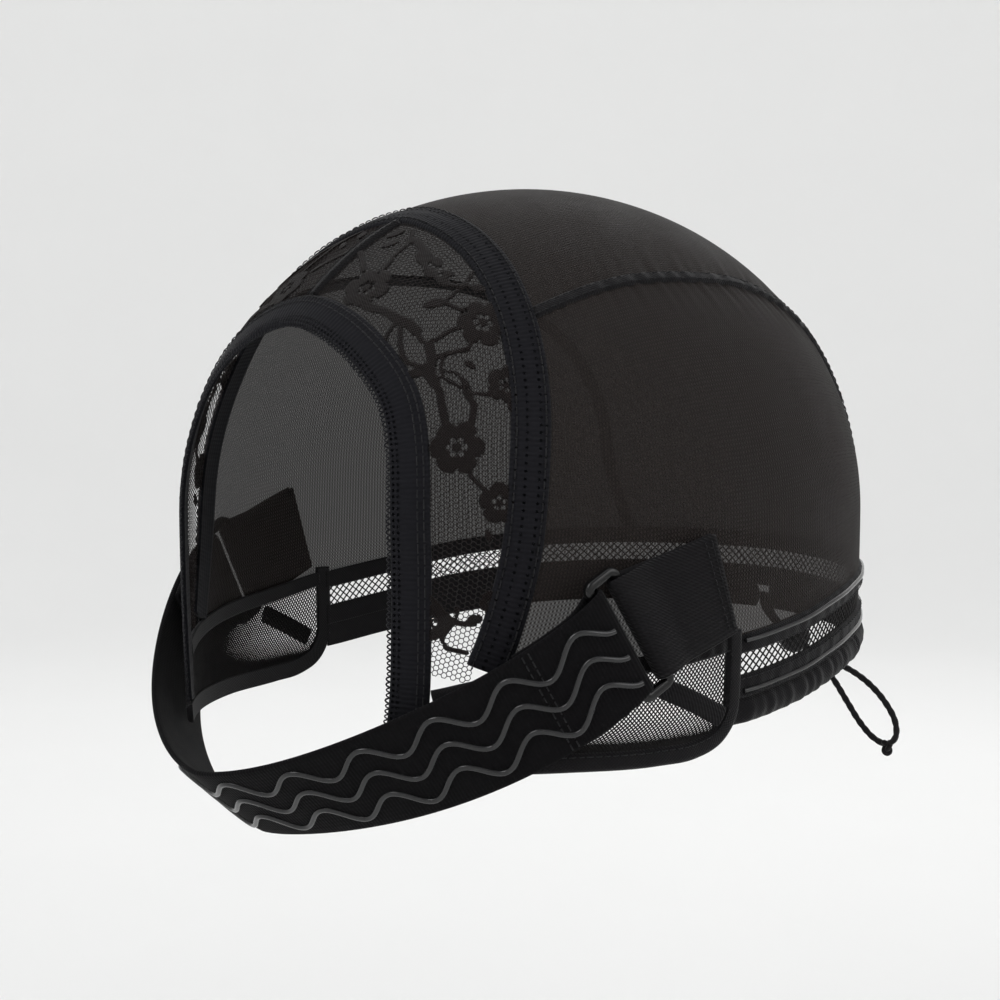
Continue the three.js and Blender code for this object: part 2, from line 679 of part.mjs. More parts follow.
/** The strap's middle line: half a superellipse in a plane that falls to the front. */
class StrapLine extends THREE.Curve {
  constructor(start) {
    super();
    this.start = start;
    const tilt = THREE.MathUtils.degToRad(strapTilt);
    this.forward = new THREE.Vector3(0, -Math.cos(tilt), -Math.sin(tilt));
    this.normal = new THREE.Vector3(0, Math.sin(tilt), -Math.cos(tilt));
  }

  getPoint(share, target = new THREE.Vector3()) {
    const turn = Math.PI * share;
    const power = 2 / strapFullness;
    const side = Math.sign(Math.cos(turn)) * Math.abs(Math.cos(turn)) ** power;
    const reach = strapReach * Math.abs(Math.sin(turn)) ** power;
    target.set(this.start.x * side, this.start.y, this.start.z);
    return target.addScaledVector(this.forward, reach);
  }

  /** Middle, across and outward directions at a share of the length. */
  frame(share) {
    const middle = this.getPointAt(share);
    const along = this.getTangentAt(share);
    const bend = Math.sin(Math.PI * share) ** strapBend;
    const axis = share < 0.5 ? ringAxis : flip(ringAxis);
    const cup = along.clone().cross(this.normal);
    const front = this.normal.clone().addScaledVector(cup, -strapCup);
    const across = axis.clone().multiplyScalar(1 - bend).addScaledVector(front, bend).normalize();
    return { middle, across, out: along.clone().cross(across).normalize() };
  }
}

const strapLine = new StrapLine(frontBar.clone());
strapLine.start.addScaledVector(strapLine.frame(0).out, strapTurn);
const strapLength = strapLine.getLength();

/** The strap as one ribbon: folded end, turn round the bar, loop, and the same again. */
function strapGeometry() {
  const loopSteps = 40;
  const foldSteps = 6;
  const turnSteps = 6;
  const half = strapWall / 2;
  const start = strapLine.frame(0);
  const turnMiddle = start.middle.clone().addScaledVector(start.out, -strapTurn);
  const back = start.out.clone().cross(start.across).normalize();
  const left = [];
  for (let i = foldSteps; i >= 0; i -= 1) {
    const distance = (strapFold * i) / foldSteps;
    const frame = strapLine.frame(distance / strapLength);
    const open = THREE.MathUtils.smoothstep(distance, 0, foldEase);
    const depth = THREE.MathUtils.lerp(2 * strapTurn, strapWall + gap, open);
    left.push({
      ...frame,
      middle: frame.middle.clone().addScaledVector(frame.out, -depth),
      out: frame.out.clone().negate(),
    });
  }
  for (let i = 1; i < turnSteps; i += 1) {
    const turn = Math.PI * (1 - i / turnSteps);
    const out = start.out.clone().multiplyScalar(Math.cos(turn)).addScaledVector(back, Math.sin(turn));
    left.push({ middle: turnMiddle.clone().addScaledVector(out, strapTurn), across: start.across, out });
  }
  const mirror = ({ middle, across, out }) => (
    { middle: flip(middle), across: flip(across), out: flip(out) }
  );
  const loop = Array.from({ length: loopSteps + 1 }, (_, i) => strapLine.frame(i / loopSteps));
  const stations = [...left, ...loop, ...left.map(mirror).reverse()];
  const row = ({ middle, across, out }, side) => [-1, 1].map((edge) => (
    middle.clone().addScaledVector(across, (edge * strapWidth) / 2).addScaledVector(out, side * half)
  ));
  return solidBetween(stations.map((s) => row(s, 1)), stations.map((s) => row(s, -1)));
}

/** One wavy silicone line along the strap's outer face. */
function waveGeometry(offset) {
  const steps = Math.floor((4 * strapLength) / waveLength);
  const seat = strapWall / 2 + gap;
  const spot = (step) => {
    const distance = (step * waveLength) / 4;
    const frame = strapLine.frame(distance / strapLength);
    const height = offset + (waveHeight / 2) * Math.cos((2 * Math.PI * distance) / waveLength);
    return { ...frame, middle: frame.middle.clone().addScaledVector(frame.across, height) };
  };
  const outer = [];
  const inner = [];
  for (let i = 0; i <= steps; i += 1) {
    const { middle, out } = spot(i);
    const run = spot(Math.min(i + 1, steps)).middle.sub(spot(Math.max(i - 1, 0)).middle).normalize();
    const across = run.cross(out).normalize();
    const row = (height) => [-1, 1].map((edge) => (
      middle.clone().addScaledVector(across, (edge * gripLineWidth) / 2).addScaledVector(out, height)
    ));
    outer.push(row(seat + gripLineHeight));
    inner.push(row(seat));
  }
  return solidBetween(outer, inner);
}

/** Rings, tabs, the strap and its silicone waves. */
function addStrap() {
  const ringMiddle = rearBar.clone().addScaledVector(ringAcross, barSpacing / 2);
  sides.forEach((side) => {
    const turn = side.name === 'left' ? (vector) => vector.clone() : flip;
    const ring = add(`strap_ring_${side.name}`, ringGeometry(), ringPlastic);
    const [across, axis] = [turn(ringAcross), turn(ringAxis)];
    const basis = new THREE.Matrix4().makeBasis(across, axis, across.clone().cross(axis));
    ring.position.copy(turn(ringMiddle));
    ring.setRotationFromMatrix(basis);
    const tab = tabGeometry();
    if (side.name === 'right') {
      tab.scale(-1, 1, 1);
      tab.setIndex([...tab.index.array].reverse());
    }
    add(`strap_tab_${side.name}`, tab, strapElastic);
  });
  add('grip_strap', strapGeometry(), strapElastic);
  [-1, 0, 1].forEach((row) => {
    add(`grip_wave_${row + 2}`, waveGeometry(row * waveSpacing), silicone);
  });
}

/** The free loop of the draw cord with its bead and knot. */
function addCord() {
  const route = pathThrough(cordRoute.map((row) => new THREE.Vector3(...row)));
  const tube = (diameter, steps) => {
    const section = new THREE.Shape();
    section.absarc(0, 0, diameter / 2, 0, 2 * Math.PI);
    return new THREE.ExtrudeGeometry(section, { steps, extrudePath: route, curveSegments: 3 });
  };
  add('draw_cord', tube(cordDiameter, 40), cordCloth);

  const half = Math.sqrt((beadDiameter / 2) ** 2 - (beadBore / 2) ** 2);
  const profile = [new THREE.Vector2(beadBore / 2, -half)];
  const arcSteps = 7;
  const arcStart = Math.asin(half / (beadDiameter / 2));
  for (let i = 1; i < arcSteps; i += 1) {
    const turn = THREE.MathUtils.lerp(-arcStart, arcStart, i / arcSteps);
    profile.push(new THREE.Vector2(Math.cos(turn), Math.sin(turn)).multiplyScalar(beadDiameter / 2));
  }
  profile.push(new THREE.Vector2(beadBore / 2, half));
  profile.push(profile[0].clone());
  const bead = add('cord_bead', new THREE.LatheGeometry(profile, 16), beadPlastic);
  bead.position.set(...beadCentre);
  const latheAxis = new THREE.Vector3(0, 1, 0);
  bead.quaternion.setFromUnitVectors(latheAxis, new THREE.Vector3(...beadAxis).normalize());

  const knot = new THREE.SphereGeometry(1, 12, 8);
  knot.rotateX(Math.PI / 2).scale(knotWidth / 2, knotWidth / 2, knotHeight / 2);
  const [x, y, z] = cordRoute.reduce((lowest, row) => (row[2] < lowest[2] ? row : lowest));
  knot.translate(x, y, z - knotDrop);
  const bored = toManifold(knot).subtract(toManifold(tube(cordDiameter + 2 * gap, 40)));
  add('cord_knot', fromManifold(bored), cordCloth);
}

addFront();
addPanels();
addEars();
addNape();
addStrap();
addCord();

export default cap;
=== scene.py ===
"""Wig cap: a sheer mesh dome with a lace front, elastic bands, net ears and a wide grip strap."""

import logging
import math
from dataclasses import dataclass
from enum import Enum
from operator import itemgetter
from typing import Any, Callable, Sequence

import bmesh
import bpy
import numpy as np
from mathutils import Matrix, Vector

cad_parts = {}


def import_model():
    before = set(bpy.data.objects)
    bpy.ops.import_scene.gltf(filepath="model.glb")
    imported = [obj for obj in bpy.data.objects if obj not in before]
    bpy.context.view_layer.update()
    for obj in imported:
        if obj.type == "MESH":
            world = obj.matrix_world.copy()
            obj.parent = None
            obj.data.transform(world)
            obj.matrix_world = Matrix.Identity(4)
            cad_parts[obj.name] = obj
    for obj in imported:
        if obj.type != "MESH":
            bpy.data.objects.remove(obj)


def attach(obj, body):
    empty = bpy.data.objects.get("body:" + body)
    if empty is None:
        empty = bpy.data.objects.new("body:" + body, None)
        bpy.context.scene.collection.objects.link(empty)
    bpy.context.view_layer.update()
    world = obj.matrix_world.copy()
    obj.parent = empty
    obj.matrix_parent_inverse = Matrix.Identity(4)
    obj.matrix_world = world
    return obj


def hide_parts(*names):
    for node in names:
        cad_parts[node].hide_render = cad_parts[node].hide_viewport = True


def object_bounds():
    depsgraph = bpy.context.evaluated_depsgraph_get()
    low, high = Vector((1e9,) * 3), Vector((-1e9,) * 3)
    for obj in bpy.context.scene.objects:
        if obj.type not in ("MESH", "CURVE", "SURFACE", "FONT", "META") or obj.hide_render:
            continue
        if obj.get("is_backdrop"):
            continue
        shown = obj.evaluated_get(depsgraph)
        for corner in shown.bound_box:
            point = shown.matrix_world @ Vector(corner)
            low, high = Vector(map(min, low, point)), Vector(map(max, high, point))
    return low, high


log = logging.getLogger("wig_cap")
MM = 0.001
BODY = "root"
UV_NAME = "weave_mm"
BULGE = "bulge"
MIRROR = np.array([-1.0, 1.0, 1.0])
UP = np.array([0.0, 0.0, 1.0])
Array = np.ndarray
Tree = bpy.types.NodeTree
Node = bpy.types.Node
Socket = bpy.types.NodeSocket
Piece = bpy.types.Object
Edge = Callable[[Array], Array]
Lift = Callable[[Array, Array], Array]


def linear(code: str) -> tuple[float, float, float, float]:
    """Turns an sRGB hex code into linear RGBA.

    Args:
        code: six hex digits, with or without the hash.

    Returns:
        Red, green, blue and alpha, linear.
    """
    digits = code.lstrip("#")
    values = [int(digits[i:i + 2], 16) / 255 for i in (0, 2, 4)]
    curve = [v / 12.92 if v <= 0.04045 else ((v + 0.055) / 1.055) ** 2.4 for v in values]
    return (curve[0], curve[1], curve[2], 1.0)


def add_node(
    tree: Tree,
    kind: str,
    settings: dict[str, Any] | None = None,
    values: dict[Any, Any] | None = None,
    links: dict[Any, Socket] | None = None,
) -> Node:
    """Adds one node with its settings, socket values and incoming links.

    Args:
        tree: the node tree.
        kind: the node's type name.
        settings: properties of the node.
        values: input values by socket name or number.
        links: sockets that feed the inputs, by socket name or number.

    Returns:
        The new node.
    """
    node = tree.nodes.new(kind)
    for name, value in (settings or {}).items():
        setattr(node, name, value)
    for socket, value in (values or {}).items():
        node.inputs[socket].default_value = value
    for socket, source in (links or {}).items():
        tree.links.new(source, node.inputs[socket])
    return node


def math_node(tree: Tree, operation: str, *terms: Any) -> Socket:
    """Adds a maths node.

    Args:
        tree: the node tree.
        operation: the node's operation.
        terms: numbers or sockets, in the order of the inputs.

    Returns:
        The socket of the result.
    """
    fixed = {spot: term for spot, term in enumerate(terms) if isinstance(term, (int, float))}
    linked = {spot: term for spot, term in enumerate(terms) if spot not in fixed}
    return add_node(tree, "ShaderNodeMath", {"operation": operation}, fixed, linked).outputs[0]


def unit(vectors: Array) -> Array:
    """Vectors scaled to length 1."""
    return vectors / np.maximum(np.linalg.norm(vectors, axis=-1, keepdims=True), 1e-12)


def smoothstep(value: Array, low: float, high: float) -> Array:
    """A smooth ramp from 0 at low to 1 at high."""
    share = np.clip((np.asarray(value, float) - low) / (high - low), 0.0, 1.0)
    return share * share * (3 - 2 * share)


@dataclass(frozen=True)
class Head:
    """The head that the cap is stretched over, in millimetres, with the crown at the origin."""

    half_width: float = 78.5
    half_length: float = 89.5
    crown: float = 80.2
    taper: float = 260.0
    depth: float = 131.0

    def _radii(self, rays: Array) -> Array:
        """The half sizes that hold above and below the widest level, for each ray.

        Args:
            rays: directions from the middle of the head.

        Returns:
            Three half sizes for each ray.
        """
        half = np.where(rays[..., 2] >= 0, self.crown, self.taper)
        width = np.full_like(half, self.half_width)
        length = np.full_like(half, self.half_length)
        return np.stack([width, length, half], axis=-1)

    def normal(self, points: Array) -> Array:
        """Outward normals of the head at points on it."""
        rays = points + self.crown * UP
        return unit(rays / self._radii(rays) ** 2)

    def seat(self, points: Array, lift: Array | float = 0.0) -> Array:
        """Moves points along their rays onto the head, then out along its normal.

        Args:
            points: positions near the head.
            lift: distance above the head, one number or one for each point.

        Returns:
            The seated positions.
        """
        centre = np.array([0.0, 0.0, -self.crown])
        rays = np.asarray(points, float) - centre
        reach = np.linalg.norm(rays / self._radii(rays), axis=-1, keepdims=True)
        seats = rays / reach + centre
        raised = np.asarray(lift, float)
        return seats + self.normal(seats) * (raised[..., None] if raised.ndim else raised)

    def place(self, rows: Sequence[Sequence[float]]) -> Array:
        """Points at angles from the front in degrees and shares of the cap's depth.

        Args:
            rows: pairs of angle and drop.

        Returns:
            One point on the head for each row.
        """
        table = np.asarray(rows, float)
        drop = table[:, 1] * self.depth
        rise = self.crown - drop
        half = np.where(rise >= 0, self.crown, self.taper)
        level = np.sqrt(1 - (rise / half) ** 2)
        turn = np.radians(table[:, 0])
        reach = level / np.hypot(np.sin(turn) / self.half_width, np.cos(turn) / self.half_length)
        return np.stack([np.sin(turn) * reach, -np.cos(turn) * reach, -drop], axis=1)


HEAD = Head()


class SurfacePath:
    """A centripetal Catmull-Rom curve through points, measured by its length."""

    def __init__(self, points: Array, samples: int = 4000) -> None:
        """Samples the curve.

        Args:
            points: the points that it passes through, in millimetres.
            samples: the number of short steps that stand for it.
        """
        rows = np.asarray(points, float)
        rows = np.vstack([2 * rows[0] - rows[1], rows, 2 * rows[-1] - rows[-2]])
        turn = np.linspace(0, len(points) - 1, samples + 1)
        index = np.minimum(turn.astype(int), len(points) - 2)
        share = (turn - index)[:, None]
        before, first, second, after = (rows[index + k] for k in range(4))
        steps = [np.sqrt(np.linalg.norm(b - a, axis=1))[:, None]
                 for a, b in ((before, first), (first, second), (second, after))]
        lead = (first - before) / steps[0] - (second - before) / (steps[0] + steps[1])
        lead = (lead + (second - first) / steps[1]) * steps[1]
        trail = (second - first) / steps[1] - (after - first) / (steps[1] + steps[2])
        trail = (trail + (after - second) / steps[2]) * steps[1]
        square = -3 * first + 3 * second - 2 * lead - trail
        cube = 2 * first - 2 * second + lead + trail
        self.points = ((cube * share + square) * share + lead) * share + first
        self.lengths = run_length(self.points)
        self.length = float(self.lengths[-1])
        self.directions = unit(np.gradient(self.points, axis=0))

    def _read(self, table: Array, share: Array) -> Array:
        """A table's values at shares of the length."""
        where = np.clip(np.asarray(share, float), 0.0, 1.0) * self.length
        return np.stack([np.interp(where, self.lengths, table[:, k]) for k in range(3)], axis=-1)

    def at(self, share: Array) -> Array:
        """Points at shares of the length."""
        return self._read(self.points, share)

    def tangent(self, share: Array) -> Array:
        """Directions at shares of the length."""
        return unit(self._read(self.directions, share))


def run_length(points: Array) -> Array:
    """The length from the first point of a line to each of its points."""
    gaps = np.linalg.norm(np.diff(points, axis=0), axis=1)
    return np.concatenate([[0.0], np.cumsum(gaps)])


def uv_grid(along: Array, around: Array) -> Array:
    """A UV grid from a distance for each row and one for each column."""
    return np.stack(np.broadcast_arrays(along[:, None], around[None]), axis=-1)


def cells(i: Array, j: Array, columns: int) -> Array:
    """The corners of a grid's cells as point numbers; after the last column comes the first."""
    here, below, after = i * columns, (i + 1) * columns, (j + 1) % columns
    return np.stack([here + j, below + j, below + after, here + after], 1)


def both_sides(rows: Sequence[Sequence[float]]) -> list[list[float]]:
    """A table of one side as one row list from right to left."""
    right = [[-row[0], row[1]] for row in rows if row[0] > 0]
    return right[::-1] + [list(row) for row in rows]


def beside(path: SurfacePath, offset: float, first: float = 0.0, last: float = 1.0) -> Edge:
    """An edge that follows a path at a distance beside it.

    Args:
        path: the path.
        offset: distance to the side, in millimetres.
        first: share of the path where the edge starts.
        last: share where it ends.

    Returns:
        The edge, as a function of the share of its own length.
    """
    def edge(share: Array) -> Array:
        """Points at shares of the edge.

        Args:
            share: shares of its length.

        Returns:
            The points, in millimetres.
        """
        along = first + (last - first) * np.asarray(share, float)
        points = HEAD.seat(path.at(along))
        side = unit(np.cross(HEAD.normal(points), path.tangent(along)))
        return HEAD.seat(points + side * offset)
    return edge


def raised(path: SurfacePath, height: float, first: float = 0.0, last: float = 1.0) -> Edge:
    """An edge straight above a path, seated on the head.

    Args:
        path: the path.
        height: millimetres above it.
        first: share of the path where it starts.
        last: share where it ends.

    Returns:
        The edge.
    """
    def edge(share: Array) -> Array:
        """Points at shares of the edge."""
        points = path.at(first + (last - first) * np.asarray(share, float))
        return HEAD.seat(points + height * UP)
    return edge


def straight(start: Array, end: Array) -> Edge:
    """A straight edge over the head between two points.

    Args:
        start: its first point.
        end: its last point.

    Returns:
        The edge.
    """
    def edge(share: Array) -> Array:
        """Points at shares of the edge."""
        part = np.asarray(share, float)[..., None]
        return HEAD.seat(start * (1 - part) + end * part)
    return edge


def point_of(edge: Edge, share: float) -> Array:
    """One point of an edge."""
    return edge(np.array([share]))[0]


def edge_length(edge: Edge, samples: int = 200) -> float:
    """The length of an edge."""
    return float(run_length(edge(np.linspace(0, 1, samples + 1)))[-1])


def fitted(edge: Edge, first: Array, last: Array) -> Edge:
    """An edge bent slightly so that it runs exactly from one point to another.

    Args:
        edge: the edge.
        first: the point where it has to start.
        last: the point where it has to end.

    Returns:
        The bent edge.
    """
    shifts = (first - point_of(edge, 0.0), last - point_of(edge, 1.0))

    def bent(share: Array) -> Array:
        """Points at shares of the bent edge."""
        part = np.asarray(share, float)[..., None]
        return edge(share) + shifts[0] * (1 - part) + shifts[1] * part
    return bent


def between(edge: Edge, before: Edge, after: Edge) -> Edge:
    """An edge fitted from the end of the edge before it to the start of the edge after it."""
    return fitted(edge, point_of(before, 1.0), point_of(after, 0.0))


def chain(*edges: Edge) -> Edge:
    """Several edges joined end to end, shared out by their lengths.

    Args:
        edges: the edges in order.

    Returns:
        The joined edge.
    """
    lengths = np.array([edge_length(edge) for edge in edges])
    starts = np.concatenate([[0.0], np.cumsum(lengths)])

    def joined(share: Array) -> Array:
        """Points at shares of the whole chain.

        Args:
            share: shares of its length.

        Returns:
            The points, in millimetres.
        """
        where = np.clip(np.asarray(share, float), 0, 1) * starts[-1]
        index = np.clip(np.searchsorted(starts, where, side="left") - 1, 0, len(edges) - 1)
        result = np.zeros(where.shape + (3,))
        for number, edge in enumerate(edges):
            own = index == number
            if own.any():
                result[own] = edge(np.clip((where[own] - starts[number]) / lengths[number], 0, 1))
        return result
    return joined


def lengthened(edge: Edge, before: float, after: float) -> Edge:
    """An edge carried straight on past its ends, so that a band tucks under its neighbour.

    Args:
        edge: the edge.
        before: millimetres added at its start.
        after: millimetres added at its end.

    Returns:
        The longer edge.
    """
    length = edge_length(edge)
    ends = edge(np.array([0.0, 0.01, 0.99, 1.0]))
    ways = (unit(ends[0] - ends[1]), unit(ends[3] - ends[2]))

    def longer(share: Array) -> Array:
        """Points at shares of the longer edge.

        Args:
            share: shares of its length.

        Returns:
            The points, in millimetres.
        """
        where = np.asarray(share, float) * (before + length + after) - before
        points = edge(np.clip(where / length, 0, 1))
        points = points + ways[0] * np.maximum(-where, 0)[..., None]
        return HEAD.seat(points + ways[1] * np.maximum(where - length, 0)[..., None])
    return longer


def mirrored(edge: Edge) -> Edge:
    """The same edge on the wearer's other side.

    Args:
        edge: the edge of one side.

    Returns:
        The edge of the other side.
    """
    def other(share: Array) -> Array:
        """Points at shares of the mirrored edge."""
        return edge(share) * MIRROR
    return other


def reverse(edge: Edge) -> Edge:
    """The same edge run the other way."""
    return part_of(edge, 1, 0)


def part_of(edge: Edge, first: float, last: float) -> Edge:
    """A part of an edge, between two shares of it.

    Args:
        edge: the whole edge.
        first: share where the part starts.
        last: share where it ends.

    Returns:
        The part, as an edge.
    """
    def part(share: Array) -> Array:
        """Points at shares of the part."""
        return edge(first + (last - first) * np.asarray(share, float))
    return part


def over_both(edge: Edge) -> Edge:
    """An edge that starts at the middle, run from its far end over the middle to the other side.

    Args:
        edge: the edge of one side.

    Returns:
        The edge over both sides.
    """
    def whole(share: Array) -> Array:
        """Points at shares of the double edge.

        Args:
            share: shares of its length.

        Returns:
            The points, in millimetres.
        """
        turn = 2 * np.asarray(share, float) - 1
        far = mirrored(edge)(np.maximum(turn, 0))
        return np.where((turn < 0)[..., None], edge(np.maximum(-turn, 0)), far)
    return whole


class Patch:
    """A Coons patch over the head inside four edges."""

    def __init__(self, near: Edge, far: Edge, start: Edge | None = None, end: Edge | None = None) -> None:
        """Closes the four edges.

        Args:
            near: first long edge, at across 0.
            far: second long edge, at across 1.
            start: edge from near to far at along 0, straight if left out.
            end: edge from near to far at along 1, straight if left out.
        """
        corners = [point_of(near, 0.0), point_of(far, 0.0), point_of(near, 1.0), point_of(far, 1.0)]
        self.near = near
        self.far = far
        self.start = fitted(start or straight(corners[0], corners[1]), corners[0], corners[1])
        self.end = fitted(end or straight(corners[2], corners[3]), corners[2], corners[3])
        self.corners = corners
        self.length = (edge_length(near) + edge_length(far)) / 2
        self.width = (edge_length(self.start) + edge_length(self.end)) / 2

    def at(self, along: Array, across: Array) -> Array:
        """Unseated points for a grid of shares.

        Args:
            along: shares along the patch, one for each row.
            across: shares across it, one for each column.

        Returns:
            Points of shape rows, columns, 3.
        """
        u = along[:, None, None]
        v = across[None, :, None]
        points = self.near(along)[:, None] * (1 - v) + self.far(along)[:, None] * v
        points = points + self.start(across)[None] * (1 - u) + self.end(across)[None] * u
        points = points - self.corners[0] * (1 - u) * (1 - v) - self.corners[1] * (1 - u) * v
        return points - self.corners[2] * u * (1 - v) - self.corners[3] * u * v


@dataclass(frozen=True)
class Ripple:
    """Small gathers that run along a seam: their pitch and height in millimetres."""

    pitch: float
    height: float
    seed: int

    def lift(self, along: Array) -> Array:
        """Height of the gathers at distances along the seam.

        Args:
            along: millimetres along the seam.

        Returns:
            Heights in millimetres.
        """
        generator = np.random.default_rng(self.seed)
        total = np.zeros_like(along, dtype=float)
        for _ in range(5):
            pitch = self.pitch * generator.uniform(0.65, 1.6)
            total += np.sin(2 * np.pi * along / pitch + generator.uniform(0, 2 * np.pi))
        return self.height * total / 2.4


def link(name: str, data: Any) -> Piece:
    """A new object for a mesh, light or camera, linked to the scene.

    Args:
        name: the object's name.
        data: its mesh, light or camera.

    Returns:
        The object.
    """
    made = bpy.data.objects.new(name, data)
    bpy.context.scene.collection.objects.link(made)
    return made


def mesh_object(name: str, points: Array, faces: Sequence[Sequence[int]],
                corner_uv: Array | None = None) -> Piece:
    """Makes a smooth-shaded mesh object from points in millimetres.

    Args:
        name: the object's name.
        points: positions.
        faces: vertex numbers of each face, anticlockwise seen from outside.
        corner_uv: one UV in millimetres for each face corner.

    Returns:
        The object, linked to the scene.
    """
    mesh = bpy.data.meshes.new(name)
    mesh.from_pydata((np.asarray(points) * MM).tolist(), [], [list(face) for face in faces])
    if corner_uv is not None:
        layer = mesh.uv_layers.new(name=UV_NAME)
        layer.data.foreach_set("uv", np.asarray(corner_uv, dtype=np.float32).ravel())
    mesh.polygons.foreach_set("use_smooth", [True] * len(mesh.polygons))
    mesh.update()
    return link(name, mesh)


def signed_volume(points: Array, faces: Sequence[Sequence[int]]) -> float:
    """Six times the volume that quads or triangles enclose.

    Args:
        points: positions.
        faces: point numbers of each face.

    Returns:
        The volume, negative if the faces point inwards.
    """
    total = 0.0
    quads = np.array([face for face in faces if len(face) == 4])
    if len(quads):
        a, b, c, d = (points[quads[:, k]] for k in range(4))
        total += float(np.einsum("ij,ij->i", a, np.cross(b, c)).sum())
        total += float(np.einsum("ij,ij->i", a, np.cross(c, d)).sum())
    return total


def grid_object(name: str, grid: Array, uv: Array, wrap: bool = False,
                capped: bool = False) -> Piece:
    """Makes an object from a grid of points, closed across and capped if asked.

    Args:
        name: the object's name.
        grid: points of shape rows, columns, 3, in millimetres.
        uv: UVs of shape rows, columns (one more if wrapped), 2.
        wrap: the last column joins the first.
        capped: the two end rows are closed by fans.

    Returns:
        The object.
    """
    rows, columns = grid.shape[:2]
    points = grid.reshape(-1, 3)
    i, j = np.indices((rows - 1, columns if wrap else columns - 1)).reshape(2, -1)
    faces = cells(i, j, columns)
    corner = np.stack([uv[i, j], uv[i + 1, j], uv[i + 1, j + 1], uv[i, j + 1]], 1)
    if wrap and signed_volume(points, faces) < 0:
        faces = faces[:, ::-1]
        corner = corner[:, ::-1]
    face_list = faces.tolist()
    corners = corner.reshape(-1, 2)
    if capped:
        points, face_list, corners = cap_ends(points, face_list, corners, rows, columns)
    return mesh_object(name, points, face_list, corners)


def cap_ends(points: Array, faces: list[list[int]], corners: Array, rows: int,
             columns: int) -> tuple[Array, list[list[int]], Array]:
    """Closes both ends of a wrapped grid with fans round a middle point.

    Args:
        points: the grid's points.
        faces: its faces, already pointing outwards.
        corners: its corner UVs.
        rows: the number of rows.
        columns: the number of columns.

    Returns:
        Points, faces and corner UVs with the caps added.
    """
    first = faces[0]
    forward = first.index(1) - first.index(0) in (1, -3)
    added = []
    middles = []
    for row, ahead in ((0, not forward), (rows - 1, forward)):
        ring = [row * columns + j for j in range(columns)]
        middle = len(points) + len(middles)
        middles.append(points[ring].mean(axis=0))
        for j in range(columns):
            pair = [ring[j], ring[(j + 1) % columns]]
            added.append([middle] + (pair if ahead else pair[::-1]))
    extra = np.zeros((3 * len(added), 2))
    return np.vstack([points, middles]), faces + added, np.vstack([corners, extra])


def tube_object(name: str, line: Array, radius: Lift, sides: int, closed: bool = False) -> Piece:
    """Sweeps a round or lobed section along a line.

    Args:
        name: the object's name.
        line: points of the middle line, in millimetres.
        radius: section radius for millimetres along and the angle round it.
        sides: the number of points round the section.
        closed: the line's end joins its start.

    Returns:
        The object.
    """
    tangents = unit(np.gradient(line, axis=0))
    side = np.cross(tangents[0], [0.3, 0.2, 0.9])
    frames = []
    for tangent in tangents:
        side = side - tangent * np.dot(side, tangent)
        side = side / np.linalg.norm(side)
        frames.append(side)
    sides_a = np.array(frames)
    sides_b = np.cross(tangents, sides_a)
    lengths = run_length(line)
    angles = np.linspace(0, 2 * np.pi, sides, endpoint=False)
    reach = radius(lengths[:, None], angles[None])
    cosine, sine = np.cos(angles)[None, :, None], np.sin(angles)[None, :, None]
    grid = line[:, None] + reach[..., None] * (cosine * sides_a[:, None] + sine * sides_b[:, None])
    uv = uv_grid(lengths, np.linspace(0, 2 * np.pi, sides + 1))
    return grid_object(name, grid, uv, wrap=True, capped=not closed)


# Materials

class Weave(Enum):
    """How the threads of a cloth lie."""

    RIB = "rib"
    TWILL = "twill"
    TRICOT = "tricot"
    PLAIN = "plain"


